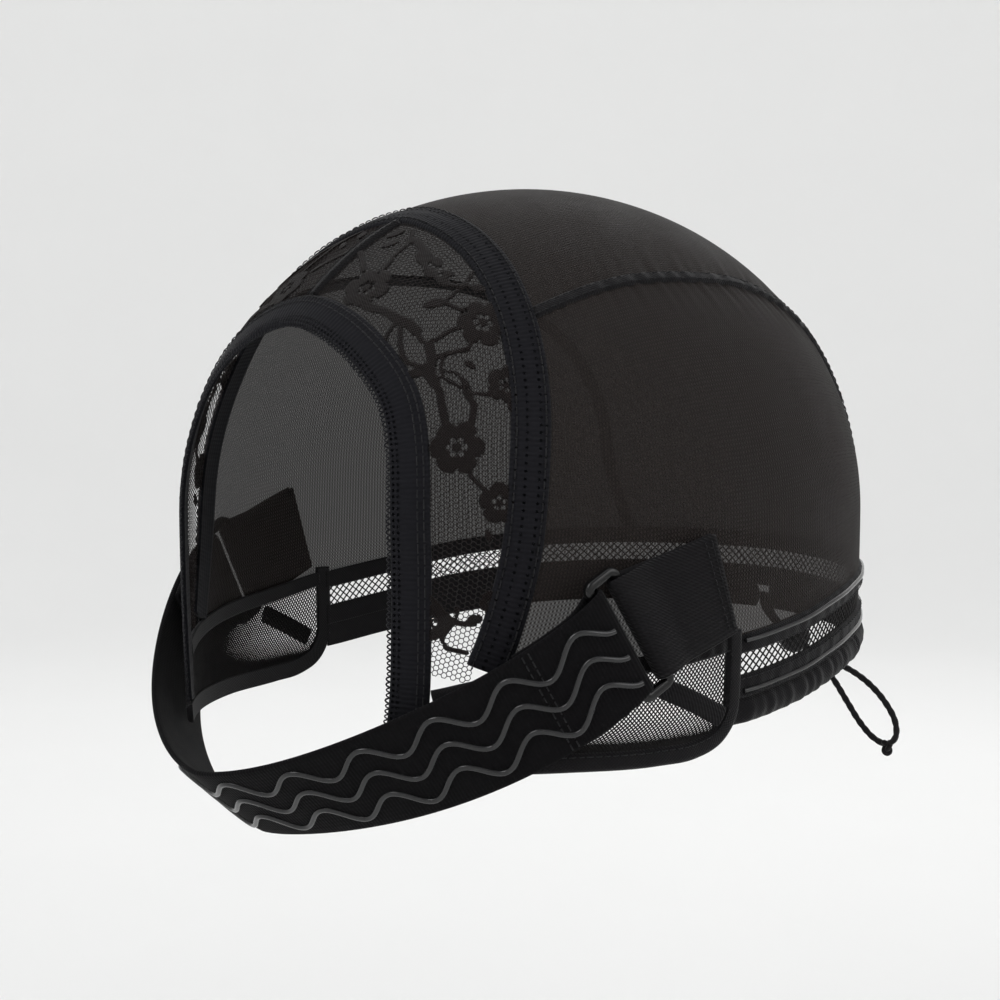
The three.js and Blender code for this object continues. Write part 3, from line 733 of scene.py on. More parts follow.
@dataclass(frozen=True)
class Finish:
    """A surface finish, with the name of a material slot. Colours are sRGB hex codes, sizes are millimetres.
    """

    name: str
    slot: str
    colour: str
    # Darker colour: painted shade in the hollows between the threads of woven finishes, and random mottle on
    # every finish.
    shade_and_mottle: str
    roughness: float
    sheen: float = 0.0
    specular: float = 0.12
    coat: float = 0.0
    weave: Weave | None = None
    pitch: tuple[float, float] = (1.0, 1.0)
    relief: float = 0.08
    cover: float = 1.0
    openness: float = 0.0
    holes: tuple[float, ...] = ()
    hole_pitch: float = 1.6
    mottle: float = 14.0
    contrast: float = 0.6

    def material(self) -> bpy.types.Material:
        """The finish as a material, made once.

        Returns:
            The material.
        """
        ready = bpy.data.materials.get(self.name)
        if ready:
            return ready
        made = bpy.data.materials.new(self.name)
        made.use_nodes = True
        tree = made.node_tree
        tree.nodes.clear()
        output = add_node(tree, "ShaderNodeOutputMaterial")
        shader = add_node(tree, "ShaderNodeBsdfPrincipled", values={
            "Specular IOR Level": self.specular,
            "Sheen Weight": self.sheen,
            "Sheen Roughness": 0.45,
            "Coat Weight": self.coat,
            "Coat Roughness": 0.12,
        })
        tree.links.new(shader.outputs["BSDF"], output.inputs["Surface"])
        place = add_node(tree, "ShaderNodeTexCoord")
        mottle = add_node(tree, "ShaderNodeTexNoise", values={"Scale": 1 / (self.mottle * MM), "Detail": 4.0},
                          links={"Vector": place.outputs["Object"]})
        height = self._height(tree, mottle)
        self._dress(tree, shader, mottle, height)
        return made

    def _axes(self, tree: Tree) -> tuple[Socket, Socket]:
        """Millimetres along and across the cloth, from the piece's own UV.

        Args:
            tree: the node tree.

        Returns:
            The two sockets.
        """
        place = add_node(tree, "ShaderNodeUVMap", {"uv_map": UV_NAME})
        axes = add_node(tree, "ShaderNodeSeparateXYZ", links={0: place.outputs[0]})
        return axes.outputs["X"], axes.outputs["Y"]

    def _wave(self, tree: Tree, source: Socket, pitch: float) -> Socket:
        """A sine of a distance in millimetres, from -1 to 1.

        Args:
            tree: the node tree.
            source: the distance.
            pitch: the length of one wave.

        Returns:
            The socket that carries it.
        """
        return math_node(tree, "SINE", math_node(tree, "MULTIPLY", source, 2 * math.pi / pitch))

    def _height(self, tree: Tree, mottle: Node) -> Socket:
        """The threads' height from -1 to 1, on the piece's own UV in millimetres.

        Args:
            tree: the node tree.
            mottle: a noise for finishes with no threads.

        Returns:
            The socket that carries it.
        """
        if self.weave is None:
            return mottle.outputs["Fac"]
        along, across = self._axes(tree)
        if self.weave is Weave.TWILL:
            along = math_node(tree, "ADD", along, across)
        first = self._wave(tree, along, self.pitch[0])
        second = self._wave(tree, across, self.pitch[1])
        if self.weave is Weave.RIB:
            return math_node(tree, "MULTIPLY_ADD", second, 0.35, first)
        both = math_node(tree, "ADD" if self.weave is Weave.TWILL else "MULTIPLY", first, second)
        if self.weave is Weave.TRICOT:
            return math_node(tree, "MULTIPLY_ADD", second, 0.6, both)
        return both

    def _dress(self, tree: Tree, shader: Node, mottle: Node, height: Socket) -> None:
        """Links colour, roughness, bump and cover to the shader; on woven finishes the colour carries painted
        shade in the hollows between the threads.

        Args:
            tree: the node tree.
            shader: the shader node.
            mottle: the noise that varies the colour.
            height: the threads' height.
        """
        # Painted shade: on woven finishes the colour runs from the darker colour in the hollows between
        # threads to the paler one on their tops, as strong as contrast says. Random mottle is added to it. On
        # finishes with no weave it is random mottle only.
        light = add_node(tree, "ShaderNodeMapRange", values={
            1: -1.5, 2: 1.5, 3: 0.35 - self.contrast / 2, 4: 0.35 + self.contrast / 2}, links={0: height})
        blend = math_node(tree, "MULTIPLY_ADD", mottle.outputs["Fac"], 0.5, light.outputs[0])
        colour = add_node(tree, "ShaderNodeMix", {"data_type": "RGBA"},
                          {6: linear(self.shade_and_mottle), 7: linear(self.colour)}, {0: blend})
        tree.links.new(colour.outputs[2], shader.inputs["Base Color"])
        rough = add_node(tree, "ShaderNodeMapRange", values={
            1: 0.25, 2: 0.75, 3: max(self.roughness - 0.06, 0.02), 4: min(self.roughness + 0.08, 1.0)},
            links={0: mottle.outputs["Fac"]})
        tree.links.new(rough.outputs[0], shader.inputs["Roughness"])
        bump = add_node(tree, "ShaderNodeBump", values={"Strength": 1.0, "Distance": self.relief * MM},
                        links={"Height": height})
        tree.links.new(bump.outputs[0], shader.inputs["Normal"])
        if self.cover < 1.0:
            self._open_threads(tree, shader, height)
        if self.holes:
            self._punch_rows(tree, shader)

    def _open_threads(self, tree: Tree, shader: Node, height: Socket) -> None:
        """Lets light through between the threads.

        Args:
            tree: the node tree.
            shader: the shader node.
            height: the threads' height.
        """
        cover = add_node(tree, "ShaderNodeMapRange", values={
            1: -1.4, 2: 1.4, 3: self.cover - self.openness, 4: self.cover + self.openness}, links={0: height})
        tree.links.new(cover.outputs[0], shader.inputs["Alpha"])

    def _punch_rows(self, tree: Tree, shader: Node) -> None:
        """Opens rows of small holes at the given distances across the band.

        Args:
            tree: the node tree.
            shader: the shader node.
        """
        along, across = self._axes(tree)
        column = math_node(tree, "PINGPONG", along, self.hole_pitch / 2)
        nearest: Socket | None = None
        for row in self.holes:
            gap = math_node(tree, "SUBTRACT", across, row)
            spot = add_node(tree, "ShaderNodeCombineXYZ", links={0: column, 1: gap})
            size = add_node(tree, "ShaderNodeVectorMath", {"operation": "LENGTH"}, links={0: spot.outputs[0]})
            near = size.outputs["Value"]
            nearest = math_node(tree, "MINIMUM", nearest, near) if nearest else near
        cover = add_node(tree, "ShaderNodeMapRange", values={1: 0.22, 2: 0.36, 3: 0.0, 4: 1.0},
                         links={0: nearest})
        tree.links.new(cover.outputs[0], shader.inputs["Alpha"])


# In each finish the second colour is the darker one. Where there is a weave it is painted shade in the
# hollows between threads; on every finish it also serves as random mottle.
# Nylon and spandex tricot, knitted: dark brown-black, sheer, with fine upright wales
MESH_CLOTH = Finish("sheer_stretch_tricot", "mesh_cloth", "231e1c", "120f0e", 0.72, sheen=0.03,
                    weave=Weave.TRICOT, pitch=(0.95, 0.8), relief=0.04, cover=0.935, openness=0.06,
                    contrast=0.5)
# Lace ground, a knitted hexagonal net of fine polyester thread: brown-black and matte
LACE_GROUND = Finish("lace_ground_thread", "lace", "1d1716", "0f0b0a", 0.8, sheen=0.05, mottle=3.0)
# Lace figures, darned thickly into the ground: near black with a fine uneven thread
LACE_FIGURE = Finish("lace_figure_thread", "lace", "1c1615", "0b0808", 0.85, sheen=0.08, weave=Weave.PLAIN,
                     pitch=(0.7, 0.6), relief=0.12, cover=0.93, openness=0.12)
# Woven elastic with fine ribs from its rubber cores: blue-black and dull
BAND_ELASTIC = Finish("ribbed_band_elastic", "band_elastic", "151519", "0d0d11", 0.82, sheen=0.05,
                      weave=Weave.RIB, pitch=(1.1, 1.5), relief=0.04, contrast=0.35, holes=(1.0, 2.1),
                      hole_pitch=1.3)
# The same elastic with four rows of knitted-in holes: blue-black and dull, dotted
JOIN_ELASTIC = Finish("perforated_band_elastic", "band_elastic", "141418", "0c0c10", 0.82, sheen=0.05,
                      weave=Weave.RIB, pitch=(1.1, 1.5), relief=0.04, contrast=0.35,
                      holes=(1.3, 3.6, 6.6, 7.8), hole_pitch=1.7)
# Picot loops of the hairline, knitted in blue-black polyester: small, round and dull
PICOT_THREAD = Finish("picot_thread", "band_elastic", "17171b", "0b0b0f", 0.75, sheen=0.1, mottle=2.0)
# Power net thread round the ears and at the nape: thick twisted nylon, slightly shiny
NET_THREAD = Finish("power_net_thread", "net_cloth", "171515", "0a090a", 0.55, sheen=0.05, mottle=3.0)
# Soft brushed nylon tape, folded over the edges: deep black with a faint bloom
SOFT_BINDING = Finish("brushed_nylon_tape", "soft_binding", "171618", "0c0b0c", 0.88, sheen=0.14,
                      weave=Weave.PLAIN, pitch=(0.8, 0.8), relief=0.05)
# Wide woven elastic of the strap: flat, dense, with fine cross ribs
STRAP_ELASTIC = Finish("wide_woven_elastic", "strap_elastic", "100f11", "070707", 0.8, sheen=0.03,
                       specular=0.06, weave=Weave.RIB, pitch=(0.85, 1.3), relief=0.04, contrast=0.4)
# Twilled elastic of the ring tabs: slanting lines, slightly paler
TAB_ELASTIC = Finish("twilled_tab_elastic", "strap_elastic", "151416", "0a090a", 0.78, sheen=0.05,
                     weave=Weave.TWILL, pitch=(1.0, 1.0), relief=0.05, contrast=0.45)
# Silicone laid down wet and cured: dark grey, rounded and glossy
SILICONE = Finish("cured_silicone_bead", "silicone", "1e1e1f", "131314", 0.2, specular=0.4, coat=0.15,
                  mottle=5.0, relief=0.05)
# Injection-moulded acetal ring: black with sharp soft-box reflections
RING_PLASTIC = Finish("glossy_moulded_acetal", "ring_plastic", "0a0a0b", "050505", 0.2, specular=0.35,
                      mottle=6.0, relief=0.01)
# Two-ply polyester cord: black, with a slight thread shine
CORD_CLOTH = Finish("twisted_polyester_cord", "cord_cloth", "1a181a", "0c0b0c", 0.65, sheen=0.1,
                    mottle=2.0, relief=0.05)
# Bead of moulded ABS with a spark-eroded texture: matte black
BEAD_PLASTIC = Finish("textured_moulded_abs", "bead_plastic", "1a1a1b", "101011", 0.5, mottle=0.6,
                      relief=0.04)
# Sewing thread of spun polyester: a hair paler than the tapes it crosses
SEWING_THREAD = Finish("spun_polyester_thread", "soft_binding", "1b1b1d", "0f0e10", 0.6, sheen=0.1,
                       mottle=1.5)
# Painted board of the studio sweep: matte, pale and clean
STUDIO_FLOOR = Finish("matte_painted_board", "", "e8e8e7", "e4e4e3", 0.9, specular=0.2, mottle=160.0,
                      relief=0.02)


# Geometry node tools

class NodeTool:
    """A geometry node tree with named inputs that is run once on a mesh."""

    def __init__(self, name: str, inputs: dict[str, str]) -> None:
        """Makes an empty tree with its sockets.

        Args:
            name: the tree's name.
            inputs: socket types by input name.
        """
        self.tree = bpy.data.node_groups.new(name, "GeometryNodeTree")
        face = self.tree.interface
        face.new_socket("Geometry", in_out="INPUT", socket_type="NodeSocketGeometry")
        self.keys = {key: face.new_socket(key, in_out="INPUT", socket_type=kind).identifier
                     for key, kind in inputs.items()}
        face.new_socket("Geometry", in_out="OUTPUT", socket_type="NodeSocketGeometry")
        self.source = add_node(self.tree, "NodeGroupInput")
        self.result = add_node(self.tree, "NodeGroupOutput")

    def finish_tree(self, mesh: Socket) -> None:
        """Ends the tree in Realize Instances and Set Material.

        Args:
            mesh: the socket of the finished geometry.
        """
        real = add_node(self.tree, "GeometryNodeRealizeInstances", links={"Geometry": mesh})
        dressed = add_node(self.tree, "GeometryNodeSetMaterial", links={
            "Geometry": real.outputs[0], "Material": self.source.outputs["Material"]})
        self.tree.links.new(dressed.outputs[0], self.result.inputs[0])

    def run(self, carrier: Piece, values: dict[str, Any]) -> Piece:
        """Runs the tree on a carrier and keeps the result as a plain mesh.

        Args:
            carrier: the object that holds the paths or the lattice; its mesh is replaced.
            values: the inputs by name.

        Returns:
            The carrier, now holding the finished mesh.
        """
        modifier = carrier.modifiers.new(self.tree.name, "NODES")
        modifier.node_group = self.tree
        for key, value in values.items():
            modifier[self.keys[key]] = value
        graph = bpy.context.evaluated_depsgraph_get()
        mesh = bpy.data.meshes.new_from_object(carrier.evaluated_get(graph), depsgraph=graph)
        carrier.modifiers.clear()
        old = carrier.data
        carrier.data = mesh
        bpy.data.meshes.remove(old)
        mesh.name = carrier.name
        mesh.polygons.foreach_set("use_smooth", [True] * len(mesh.polygons))
        return carrier


class StrandTool(NodeTool):
    """Turns every edge of a mesh, or of its dual, into a round strand."""

    def __init__(self, name: str, dual: bool) -> None:
        """Builds the tree.

        Args:
            name: the tree's name.
            dual: the strands run between the faces' middles, as in a hexagonal net.
        """
        super().__init__(name, {
            "Strand Radius": "NodeSocketFloat", "Strand Sides": "NodeSocketInt",
            "Material": "NodeSocketMaterial"})
        ports = self.source.outputs
        mesh = ports["Geometry"]
        if dual:
            turned = add_node(self.tree, "GeometryNodeDualMesh", links={0: mesh})
            mesh = turned.outputs[0]
        line = add_node(self.tree, "GeometryNodeMeshToCurve", links={0: mesh})
        section = add_node(self.tree, "GeometryNodeCurvePrimitiveCircle", links={
            "Resolution": ports["Strand Sides"], "Radius": ports["Strand Radius"]})
        strand = add_node(self.tree, "GeometryNodeCurveToMesh", values={"Fill Caps": True}, links={
            "Curve": line.outputs[0], "Profile Curve": section.outputs["Curve"]})
        self.finish_tree(strand.outputs[0])


class RowTool(NodeTool):
    """Sets small thread arcs along rows: stitches that lie flat, or loops on an edge."""

    def __init__(self, name: str) -> None:
        """Builds the tree.

        Args:
            name: the tree's name.
        """
        super().__init__(name, {
            "Pitch": "NodeSocketFloat", "Arc Length": "NodeSocketFloat", "Arc Rise": "NodeSocketFloat",
            "Thread Radius": "NodeSocketFloat", "Unevenness": "NodeSocketFloat", "Seed": "NodeSocketInt",
            "Material": "NodeSocketMaterial"})
        ports = self.source.outputs
        line = add_node(self.tree, "GeometryNodeMeshToCurve", links={0: ports["Geometry"]})
        spots = add_node(self.tree, "GeometryNodeResampleCurve", {"mode": "LENGTH"},
                         links={"Curve": line.outputs[0], "Length": ports["Pitch"]})
        rotation = self._rotation()
        low = math_node(self.tree, "SUBTRACT", 1.0, ports["Unevenness"])
        high = math_node(self.tree, "ADD", 1.0, ports["Unevenness"])
        chance = add_node(self.tree, "FunctionNodeRandomValue", {"data_type": "FLOAT"},
                          links={2: low, 3: high, "Seed": ports["Seed"]})
        placed = add_node(self.tree, "GeometryNodeInstanceOnPoints", links={
            "Points": spots.outputs[0], "Instance": self._arc(), "Rotation": rotation,
            "Scale": chance.outputs[1]})
        self.finish_tree(placed.outputs[0])

    def _rotation(self) -> Socket:
        """Turns each arc along its row, bulging the way that the row's attribute says.

        Returns:
            The socket of the rotation.
        """
        tangent = add_node(self.tree, "GeometryNodeInputTangent")
        bulge = add_node(self.tree, "GeometryNodeInputNamedAttribute", {"data_type": "FLOAT_VECTOR"},
                         {"Name": BULGE})
        first = add_node(self.tree, "FunctionNodeAlignRotationToVector", {"axis": "X"},
                         links={"Vector": tangent.outputs[0]})
        second = add_node(self.tree, "FunctionNodeAlignRotationToVector", {"axis": "Z", "pivot_axis": "X"},
                          links={"Rotation": first.outputs[0], "Vector": bulge.outputs[0]})
        return second.outputs[0]

    def _arc(self) -> Socket:
        """One arc of thread, as a small four-sided tube.

        Returns:
            The socket of the arc.
        """
        ports = self.source.outputs
        places = {}
        for key, axis, port, factor in (
                ("Start", 0, "Arc Length", -0.5),
                ("Middle", 2, "Arc Rise", 2.0),
                ("End", 0, "Arc Length", 0.5)):
            reach = math_node(self.tree, "MULTIPLY", ports[port], factor)
            places[key] = add_node(self.tree, "ShaderNodeCombineXYZ", links={axis: reach}).outputs[0]
        arc = add_node(self.tree, "GeometryNodeCurveQuadraticBezier", values={"Resolution": 4}, links=places)
        section = add_node(self.tree, "GeometryNodeCurvePrimitiveCircle", values={"Resolution": 4},
                           links={"Radius": ports["Thread Radius"]})
        tube = add_node(self.tree, "GeometryNodeCurveToMesh", values={"Fill Caps": True}, links={
            "Curve": arc.outputs[0], "Profile Curve": section.outputs["Curve"]})
        return tube.outputs[0]


def edges_object(name: str, points: Array, edges: Sequence[Sequence[int]],
                 bulge: Array | None = None) -> Piece:
    """A carrier of bare edges for a node tool.

    Args:
        name: the object's name.
        points: positions in millimetres.
        edges: pairs of point numbers.
        bulge: a direction for each point.

    Returns:
        The object.
    """
    mesh = bpy.data.meshes.new(name)
    mesh.from_pydata((np.asarray(points) * MM).tolist(), [list(map(int, pair)) for pair in edges], [])
    if bulge is not None:
        layer = mesh.attributes.new(BULGE, "FLOAT_VECTOR", "POINT")
        layer.data.foreach_set("vector", np.asarray(bulge, dtype=np.float32).ravel())
    return link(name, mesh)


def runs_of(counts: Sequence[int]) -> list[tuple[int, int]]:
    """Edges that join points in runs of the given counts."""
    ends = set(np.cumsum(counts) - 1)
    return [(k, k + 1) for k in range(sum(counts) - 1) if k not in ends]


@dataclass
class Row:
    """One row of stitches or loops: its points and the way that they bulge."""

    points: Array
    bulge: Array


def row_on_head(edge: Edge, lift: float, pitch: float = 1.0, side: float = 0.0) -> Row:
    """A row along an edge on the head.

    Args:
        edge: the edge that it follows.
        lift: its height above the head.
        pitch: the spacing of the points that carry it.
        side: 0 for stitches that bulge outwards, or 1 or -1 for loops that stand off to one side.

    Returns:
        The row.
    """
    count = max(int(edge_length(edge) / pitch), 4)
    points = HEAD.seat(edge(np.linspace(0, 1, count + 1)), lift)
    normals = HEAD.normal(points)
    if not side:
        return Row(points, normals)
    return Row(points, unit(np.cross(normals, np.gradient(points, axis=0))) * side)


class Workshop:
    """Shares the node tools and attaches each piece to the body."""

    def __init__(self) -> None:
        """Builds the node tools once."""
        self.strands = StrandTool("strands_along_edges", dual=False)
        self.honeycomb = StrandTool("strands_of_hexagons", dual=True)
        self.rows = RowTool("thread_arcs_in_rows")

    def keep(self, piece: Piece, finish: Finish, *nodes: str, slot: str | None = None) -> Piece:
        """Dresses a piece, rides it on the body and hides the CAD parts that it replaces.

        Args:
            piece: the finished object.
            finish: its finish.
            nodes: the CAD nodes that it stands for.
            slot: a material slot name; not used.

        Returns:
            The piece.
        """
        piece.data.materials.clear()
        piece.data.materials.append(finish.material())
        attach(piece, BODY)
        slot or finish.slot
        if nodes:
            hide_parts(*nodes)
        log.info("%s: %d faces", piece.name, len(piece.data.polygons))
        return piece

    def strip(self, name: str, patch: Patch, steps: int, lift: Lift, node: str, finish: Finish = SOFT_BINDING,
              base: float = 0.0, strips: int = 8) -> None:
        """Makes and keeps a closed strip of cloth with soft rounded edges, its UV in millimetres.

        Args:
            name: the piece's name.
            patch: the strip's outline.
            steps: the number of steps along it.
            lift: height of its outer face for millimetres along and the share across.
            node: the CAD node that it stands for.
            finish: its finish.
            base: height of its inner face.
            strips: the number of steps across.
        """
        along = np.linspace(0, 1, steps + 1)
        soft = 0.35 / max(patch.width, 1.0)
        flat = np.linspace(2.4 * soft, 1 - 2.4 * soft, strips - 1)
        across = np.concatenate([[0.0, soft], flat, [1 - soft, 1.0]])
        seats = patch.at(along, across)
        distance = np.broadcast_to((along * patch.length)[:, None], seats.shape[:2])
        share = np.broadcast_to(across[None], seats.shape[:2])
        edge = np.minimum(share, 1 - share) / soft
        roll = np.where(edge < 0.5, 0.5, np.where(edge < 1.5, 0.86, 1.0))
        top = base + (lift(distance, share) - base) * roll
        outer = HEAD.seat(seats, top)
        inner = HEAD.seat(seats, np.full(seats.shape[:2], base))
        grid = np.concatenate([outer, inner[:, ::-1]], axis=1)
        width = across * patch.width
        back = patch.width * 2 + 1 - width[::-1]
        v = np.concatenate([width, back, [2 * patch.width + 1]])
        piece = grid_object(name, grid, uv_grid(along * patch.length, v), wrap=True, capped=True)
        self.keep(piece, finish, node)

    def net(self, tool: StrandTool, carrier: Piece, radius: float, sides: int, finish: Finish,
            node: str) -> None:
        """Makes strands of a carrier's edges and keeps them.

        Args:
            tool: the node tool that lays them.
            carrier: the carrier, with the piece's name.
            radius: the strands' radius.
            sides: their number of sides.
            finish: their finish.
            node: the CAD node that they stand for.
        """
        laid = tool.run(carrier, {
            "Strand Radius": radius * MM, "Strand Sides": sides, "Material": finish.material()})
        self.keep(laid, finish, node)

    def silicone_line(self, name: str, run: Array, radius: float, node: str) -> None:
        """Lays a round line of silicone.

        Args:
            name: the piece's name.
            run: the line's points, in millimetres.
            radius: its radius.
            node: the CAD node that it stands for.
        """
        self.net(self.strands, edges_object(name, run, runs_of([len(run)])), radius, 10, SILICONE, node)

    def stitches(self, name: str, rows: Sequence[Row], slot: str, pitch: float = 2.4, length: float = 1.9,
                 rise: float = 0.2, radius: float = 0.14, finish: Finish = SEWING_THREAD) -> None:
        """Sews rows of thread arcs.

        Args:
            name: the piece's name.
            rows: the rows, all sewn into one piece.
            slot: a material slot name, passed on to keep.
            pitch: the spacing of the arcs.
            length: the length of each.
            rise: how far each bulges.
            radius: the thread's radius.
            finish: the thread's finish.
        """
        points = np.vstack([row.points for row in rows])
        bulge = np.vstack([row.bulge for row in rows])
        carrier = edges_object(name, points, runs_of([len(row.points) for row in rows]), bulge)
        sewn = self.rows.run(carrier, {
            "Pitch": pitch * MM, "Arc Length": length * MM, "Arc Rise": rise * MM,
            "Thread Radius": radius * MM, "Unevenness": 0.12, "Seed": 7, "Material": finish.material()})
        self.keep(sewn, finish, slot=slot)


# Pattern of the cap on the head, shared by all sub-assemblies

HAIRLINE_ROWS = [
    [0, 0.226], [12.5, 0.252], [22.8, 0.313], [28, 0.375], [30.3, 0.453], [31.2, 0.6], [31.2, 0.75],
    [30.8, 0.87], [29.8, 0.962]]
JOIN_ROWS = [
    [0, 0.056], [22, 0.076], [37.5, 0.131], [44, 0.197], [47.2, 0.27], [48.8, 0.37], [48.6, 0.5],
    [47.4, 0.63], [44.6, 0.75], [42.2, 0.822]]
EAR_CASING_ROWS = [[34.9, 0.869], [41.4, 0.852], [52, 0.836], [62, 0.826], [72, 0.817], [83, 0.8]]
BINDING_ROWS = [
    [26.6, 0.983], [40, 0.983], [55, 0.983], [70, 0.983], [77, 0.978], [82, 0.958], [84.6, 0.92],
    [85, 0.87], [85, 0.79]]
NAPE_ROWS = [[86.8, 0.944], [100, 0.927], [118, 0.896], [136, 0.877], [155, 0.868], [180, 0.864]]
SEAM_ROWS = [
    [70, 0.178], [92.5, 0.169], [113, 0.182], [131, 0.233], [141, 0.31], [146.5, 0.44], [148.2, 0.58]]
EAR_ELASTIC_ROWS = [[69.6, 0.858], [76, 0.89], [81.8, 0.922]]


@dataclass
class Pattern:
    """The cap's cutting lines on the head. Widths and heights are millimetres."""

    hairline_width: float = 9.0
    join_width: float = 9.0
    centre_seam_width: float = 3.0
    panel_seam_width: float = 3.4
    ear_casing_width: float = 3.8
    binding_width: float = 4.4
    ear_elastic_width: float = 4.8
    hem_height: float = 6.2
    lower_casing_height: float = 5.4
    net_height: float = 5.0
    upper_casing_height: float = 4.6
    slit_width: float = 5.2
    band_wall: float = 1.5
    mesh_wall: float = 1.0
    hem_wall: float = 2.6
    gap: float = 0.36
    seam_on_join: float = 0.4
    seam_on_nape: float = 0.68
    seam_turn: float = 0.62
    binding_corner: float = 0.69
    binding_at_hairline: float = 0.1
    lace_foot: float = 0.86
    net_top: float = 0.9
    casing_at_join: float = 0.24

    def __post_init__(self) -> None:
        """Draws the paths."""
        self.hairline = SurfacePath(HEAD.place(both_sides(HAIRLINE_ROWS)))
        self.join = SurfacePath(HEAD.place(both_sides(JOIN_ROWS)))
        right = [[-angle, drop] for angle, drop in NAPE_ROWS[:-1]][::-1]
        self.nape = SurfacePath(HEAD.place(NAPE_ROWS + right))
        self.ear_casing = SurfacePath(HEAD.place(EAR_CASING_ROWS))
        self.binding = SurfacePath(HEAD.place(BINDING_ROWS))
        self.ear_elastic = SurfacePath(HEAD.place(EAR_ELASTIC_ROWS))
        self.casing_foot = self.hem_height
        self.net_foot = self.casing_foot + self.lower_casing_height
        self.upper_foot = self.net_foot + self.net_height
        self.nape_top = self.upper_foot + self.upper_casing_height
        self._draw_seam()

    def _draw_seam(self) -> None:
        """Draws the panel seam and the edges that share its ends."""
        start = point_of(self.beside_join(self.join_width / 2, self.seam_on_join, 1), 0)
        end = point_of(self.above_nape(self.nape_top, self.seam_on_nape, 1), 0)
        self.panel_seam = SurfacePath(np.vstack([start, HEAD.place(SEAM_ROWS), end]))
        half = self.panel_seam_width / 2
        on_join = half / (self.join.length / 2)
        on_nape = half / (self.nape.length / 2)
        rear = self.join_width / 2
        join_above_seam = self.beside_join(rear, 0, self.seam_on_join - on_join)
        join_below_seam = self.beside_join(rear, self.seam_on_join + on_join, 1)
        nape_behind_seam = self.above_nape(self.nape_top, self.seam_on_nape + on_nape, 1)
        nape_before_seam = self.above_nape(self.nape_top, 0, self.seam_on_nape - on_nape)
        upper = beside(self.panel_seam, half)
        lower = beside(self.panel_seam, -half)
        self.seam_upper = between(upper, join_above_seam, nape_behind_seam)
        self.seam_lower = between(lower, reverse(join_below_seam), reverse(nape_before_seam))

    def beside_hairline(self, offset: float, first: float = 0.0, last: float = 1.0) -> Edge:
        """An edge beside the left half of the hairline, from the crown down."""
        return beside(self.hairline, offset, (1 + first) / 2, (1 + last) / 2)

    def beside_join(self, offset: float, first: float = 0.0, last: float = 1.0) -> Edge:
        """An edge beside the left half of the join band, from the crown down."""
        return beside(self.join, offset, (1 + first) / 2, (1 + last) / 2)

    def above_nape(self, height: float, first: float = 0.0, last: float = 1.0) -> Edge:
        """An edge above the left half of the nape, from the ear to the back."""
        return raised(self.nape, height, first / 2, last / 2)


class Side(Enum):
    """The wearer's two sides."""

    LEFT = "left"
    RIGHT = "right"

    def of(self, edge: Edge) -> Edge:
        """An edge of the left, taken to this side."""
        return edge if self is Side.LEFT else mirrored(edge)

    def turn(self, points: Array) -> Array:
        """Points of the left, taken to this side."""
        return points if self is Side.LEFT else points * MIRROR


def ribbed(wall: float, ripple: Ripple | None = None) -> Lift:
    """The height of a band's outer face, slightly crowned, with gathers if given.

    Args:
        wall: the band's thickness.
        ripple: its gathers.

    Returns:
        A function of the millimetres along and the share across.
    """
    def lift(along: Array, across: Array) -> Array:
        """The height at spots of the band.

        Args:
            along: millimetres along the band.
            across: shares of its width.

        Returns:
            Heights in millimetres.
        """
        crown = wall * (0.86 + 0.14 * np.sin(np.pi * across))
        if ripple is None:
            return crown
        return crown + ripple.lift(along) * (0.35 + 0.65 * across * (1 - across) * 4)
    return lift


def tucked(lift: Lift, first: float, last: float, length: float) -> Lift:
    """A band's height, thinned where its ends tuck under a neighbour.

    Args:
        lift: the band's height.
        first: share of the height kept at its start.
        last: share kept at its end.
        length: the band's length.

    Returns:
        The thinned height.
    """
    def thin(along: Array, across: Array) -> Array:
        """The thinned height at spots of the band.

        Args:
            along: millimetres along the band.
            across: shares of its width.

        Returns:
            Heights in millimetres.
        """
        start = first + (1 - first) * smoothstep(along, 0.8, 5.0)
        end = last + (1 - last) * smoothstep(length - along, 0.8, 5.0)
        return lift(along, across) * start * end
    return thin


# Lace figures, in millimetres along the lace from the centre seam and across it from its middle,
# with plus towards the crown band

@dataclass(frozen=True)
class Flower:
    """A lace flower of round petals with an eyelet in each."""

    along: float
    across: float
    radius: float
    petals: int
    turn: float


@dataclass(frozen=True)
class Stem:
    """A lace stem: its points and its half width."""

    points: tuple[tuple[float, float], ...]
    half: float


@dataclass(frozen=True)
class Leaf:
    """A lace leaf: its middle, half length, half width and turn in degrees."""

    along: float
    across: float
    length: float
    width: float
    turn: float


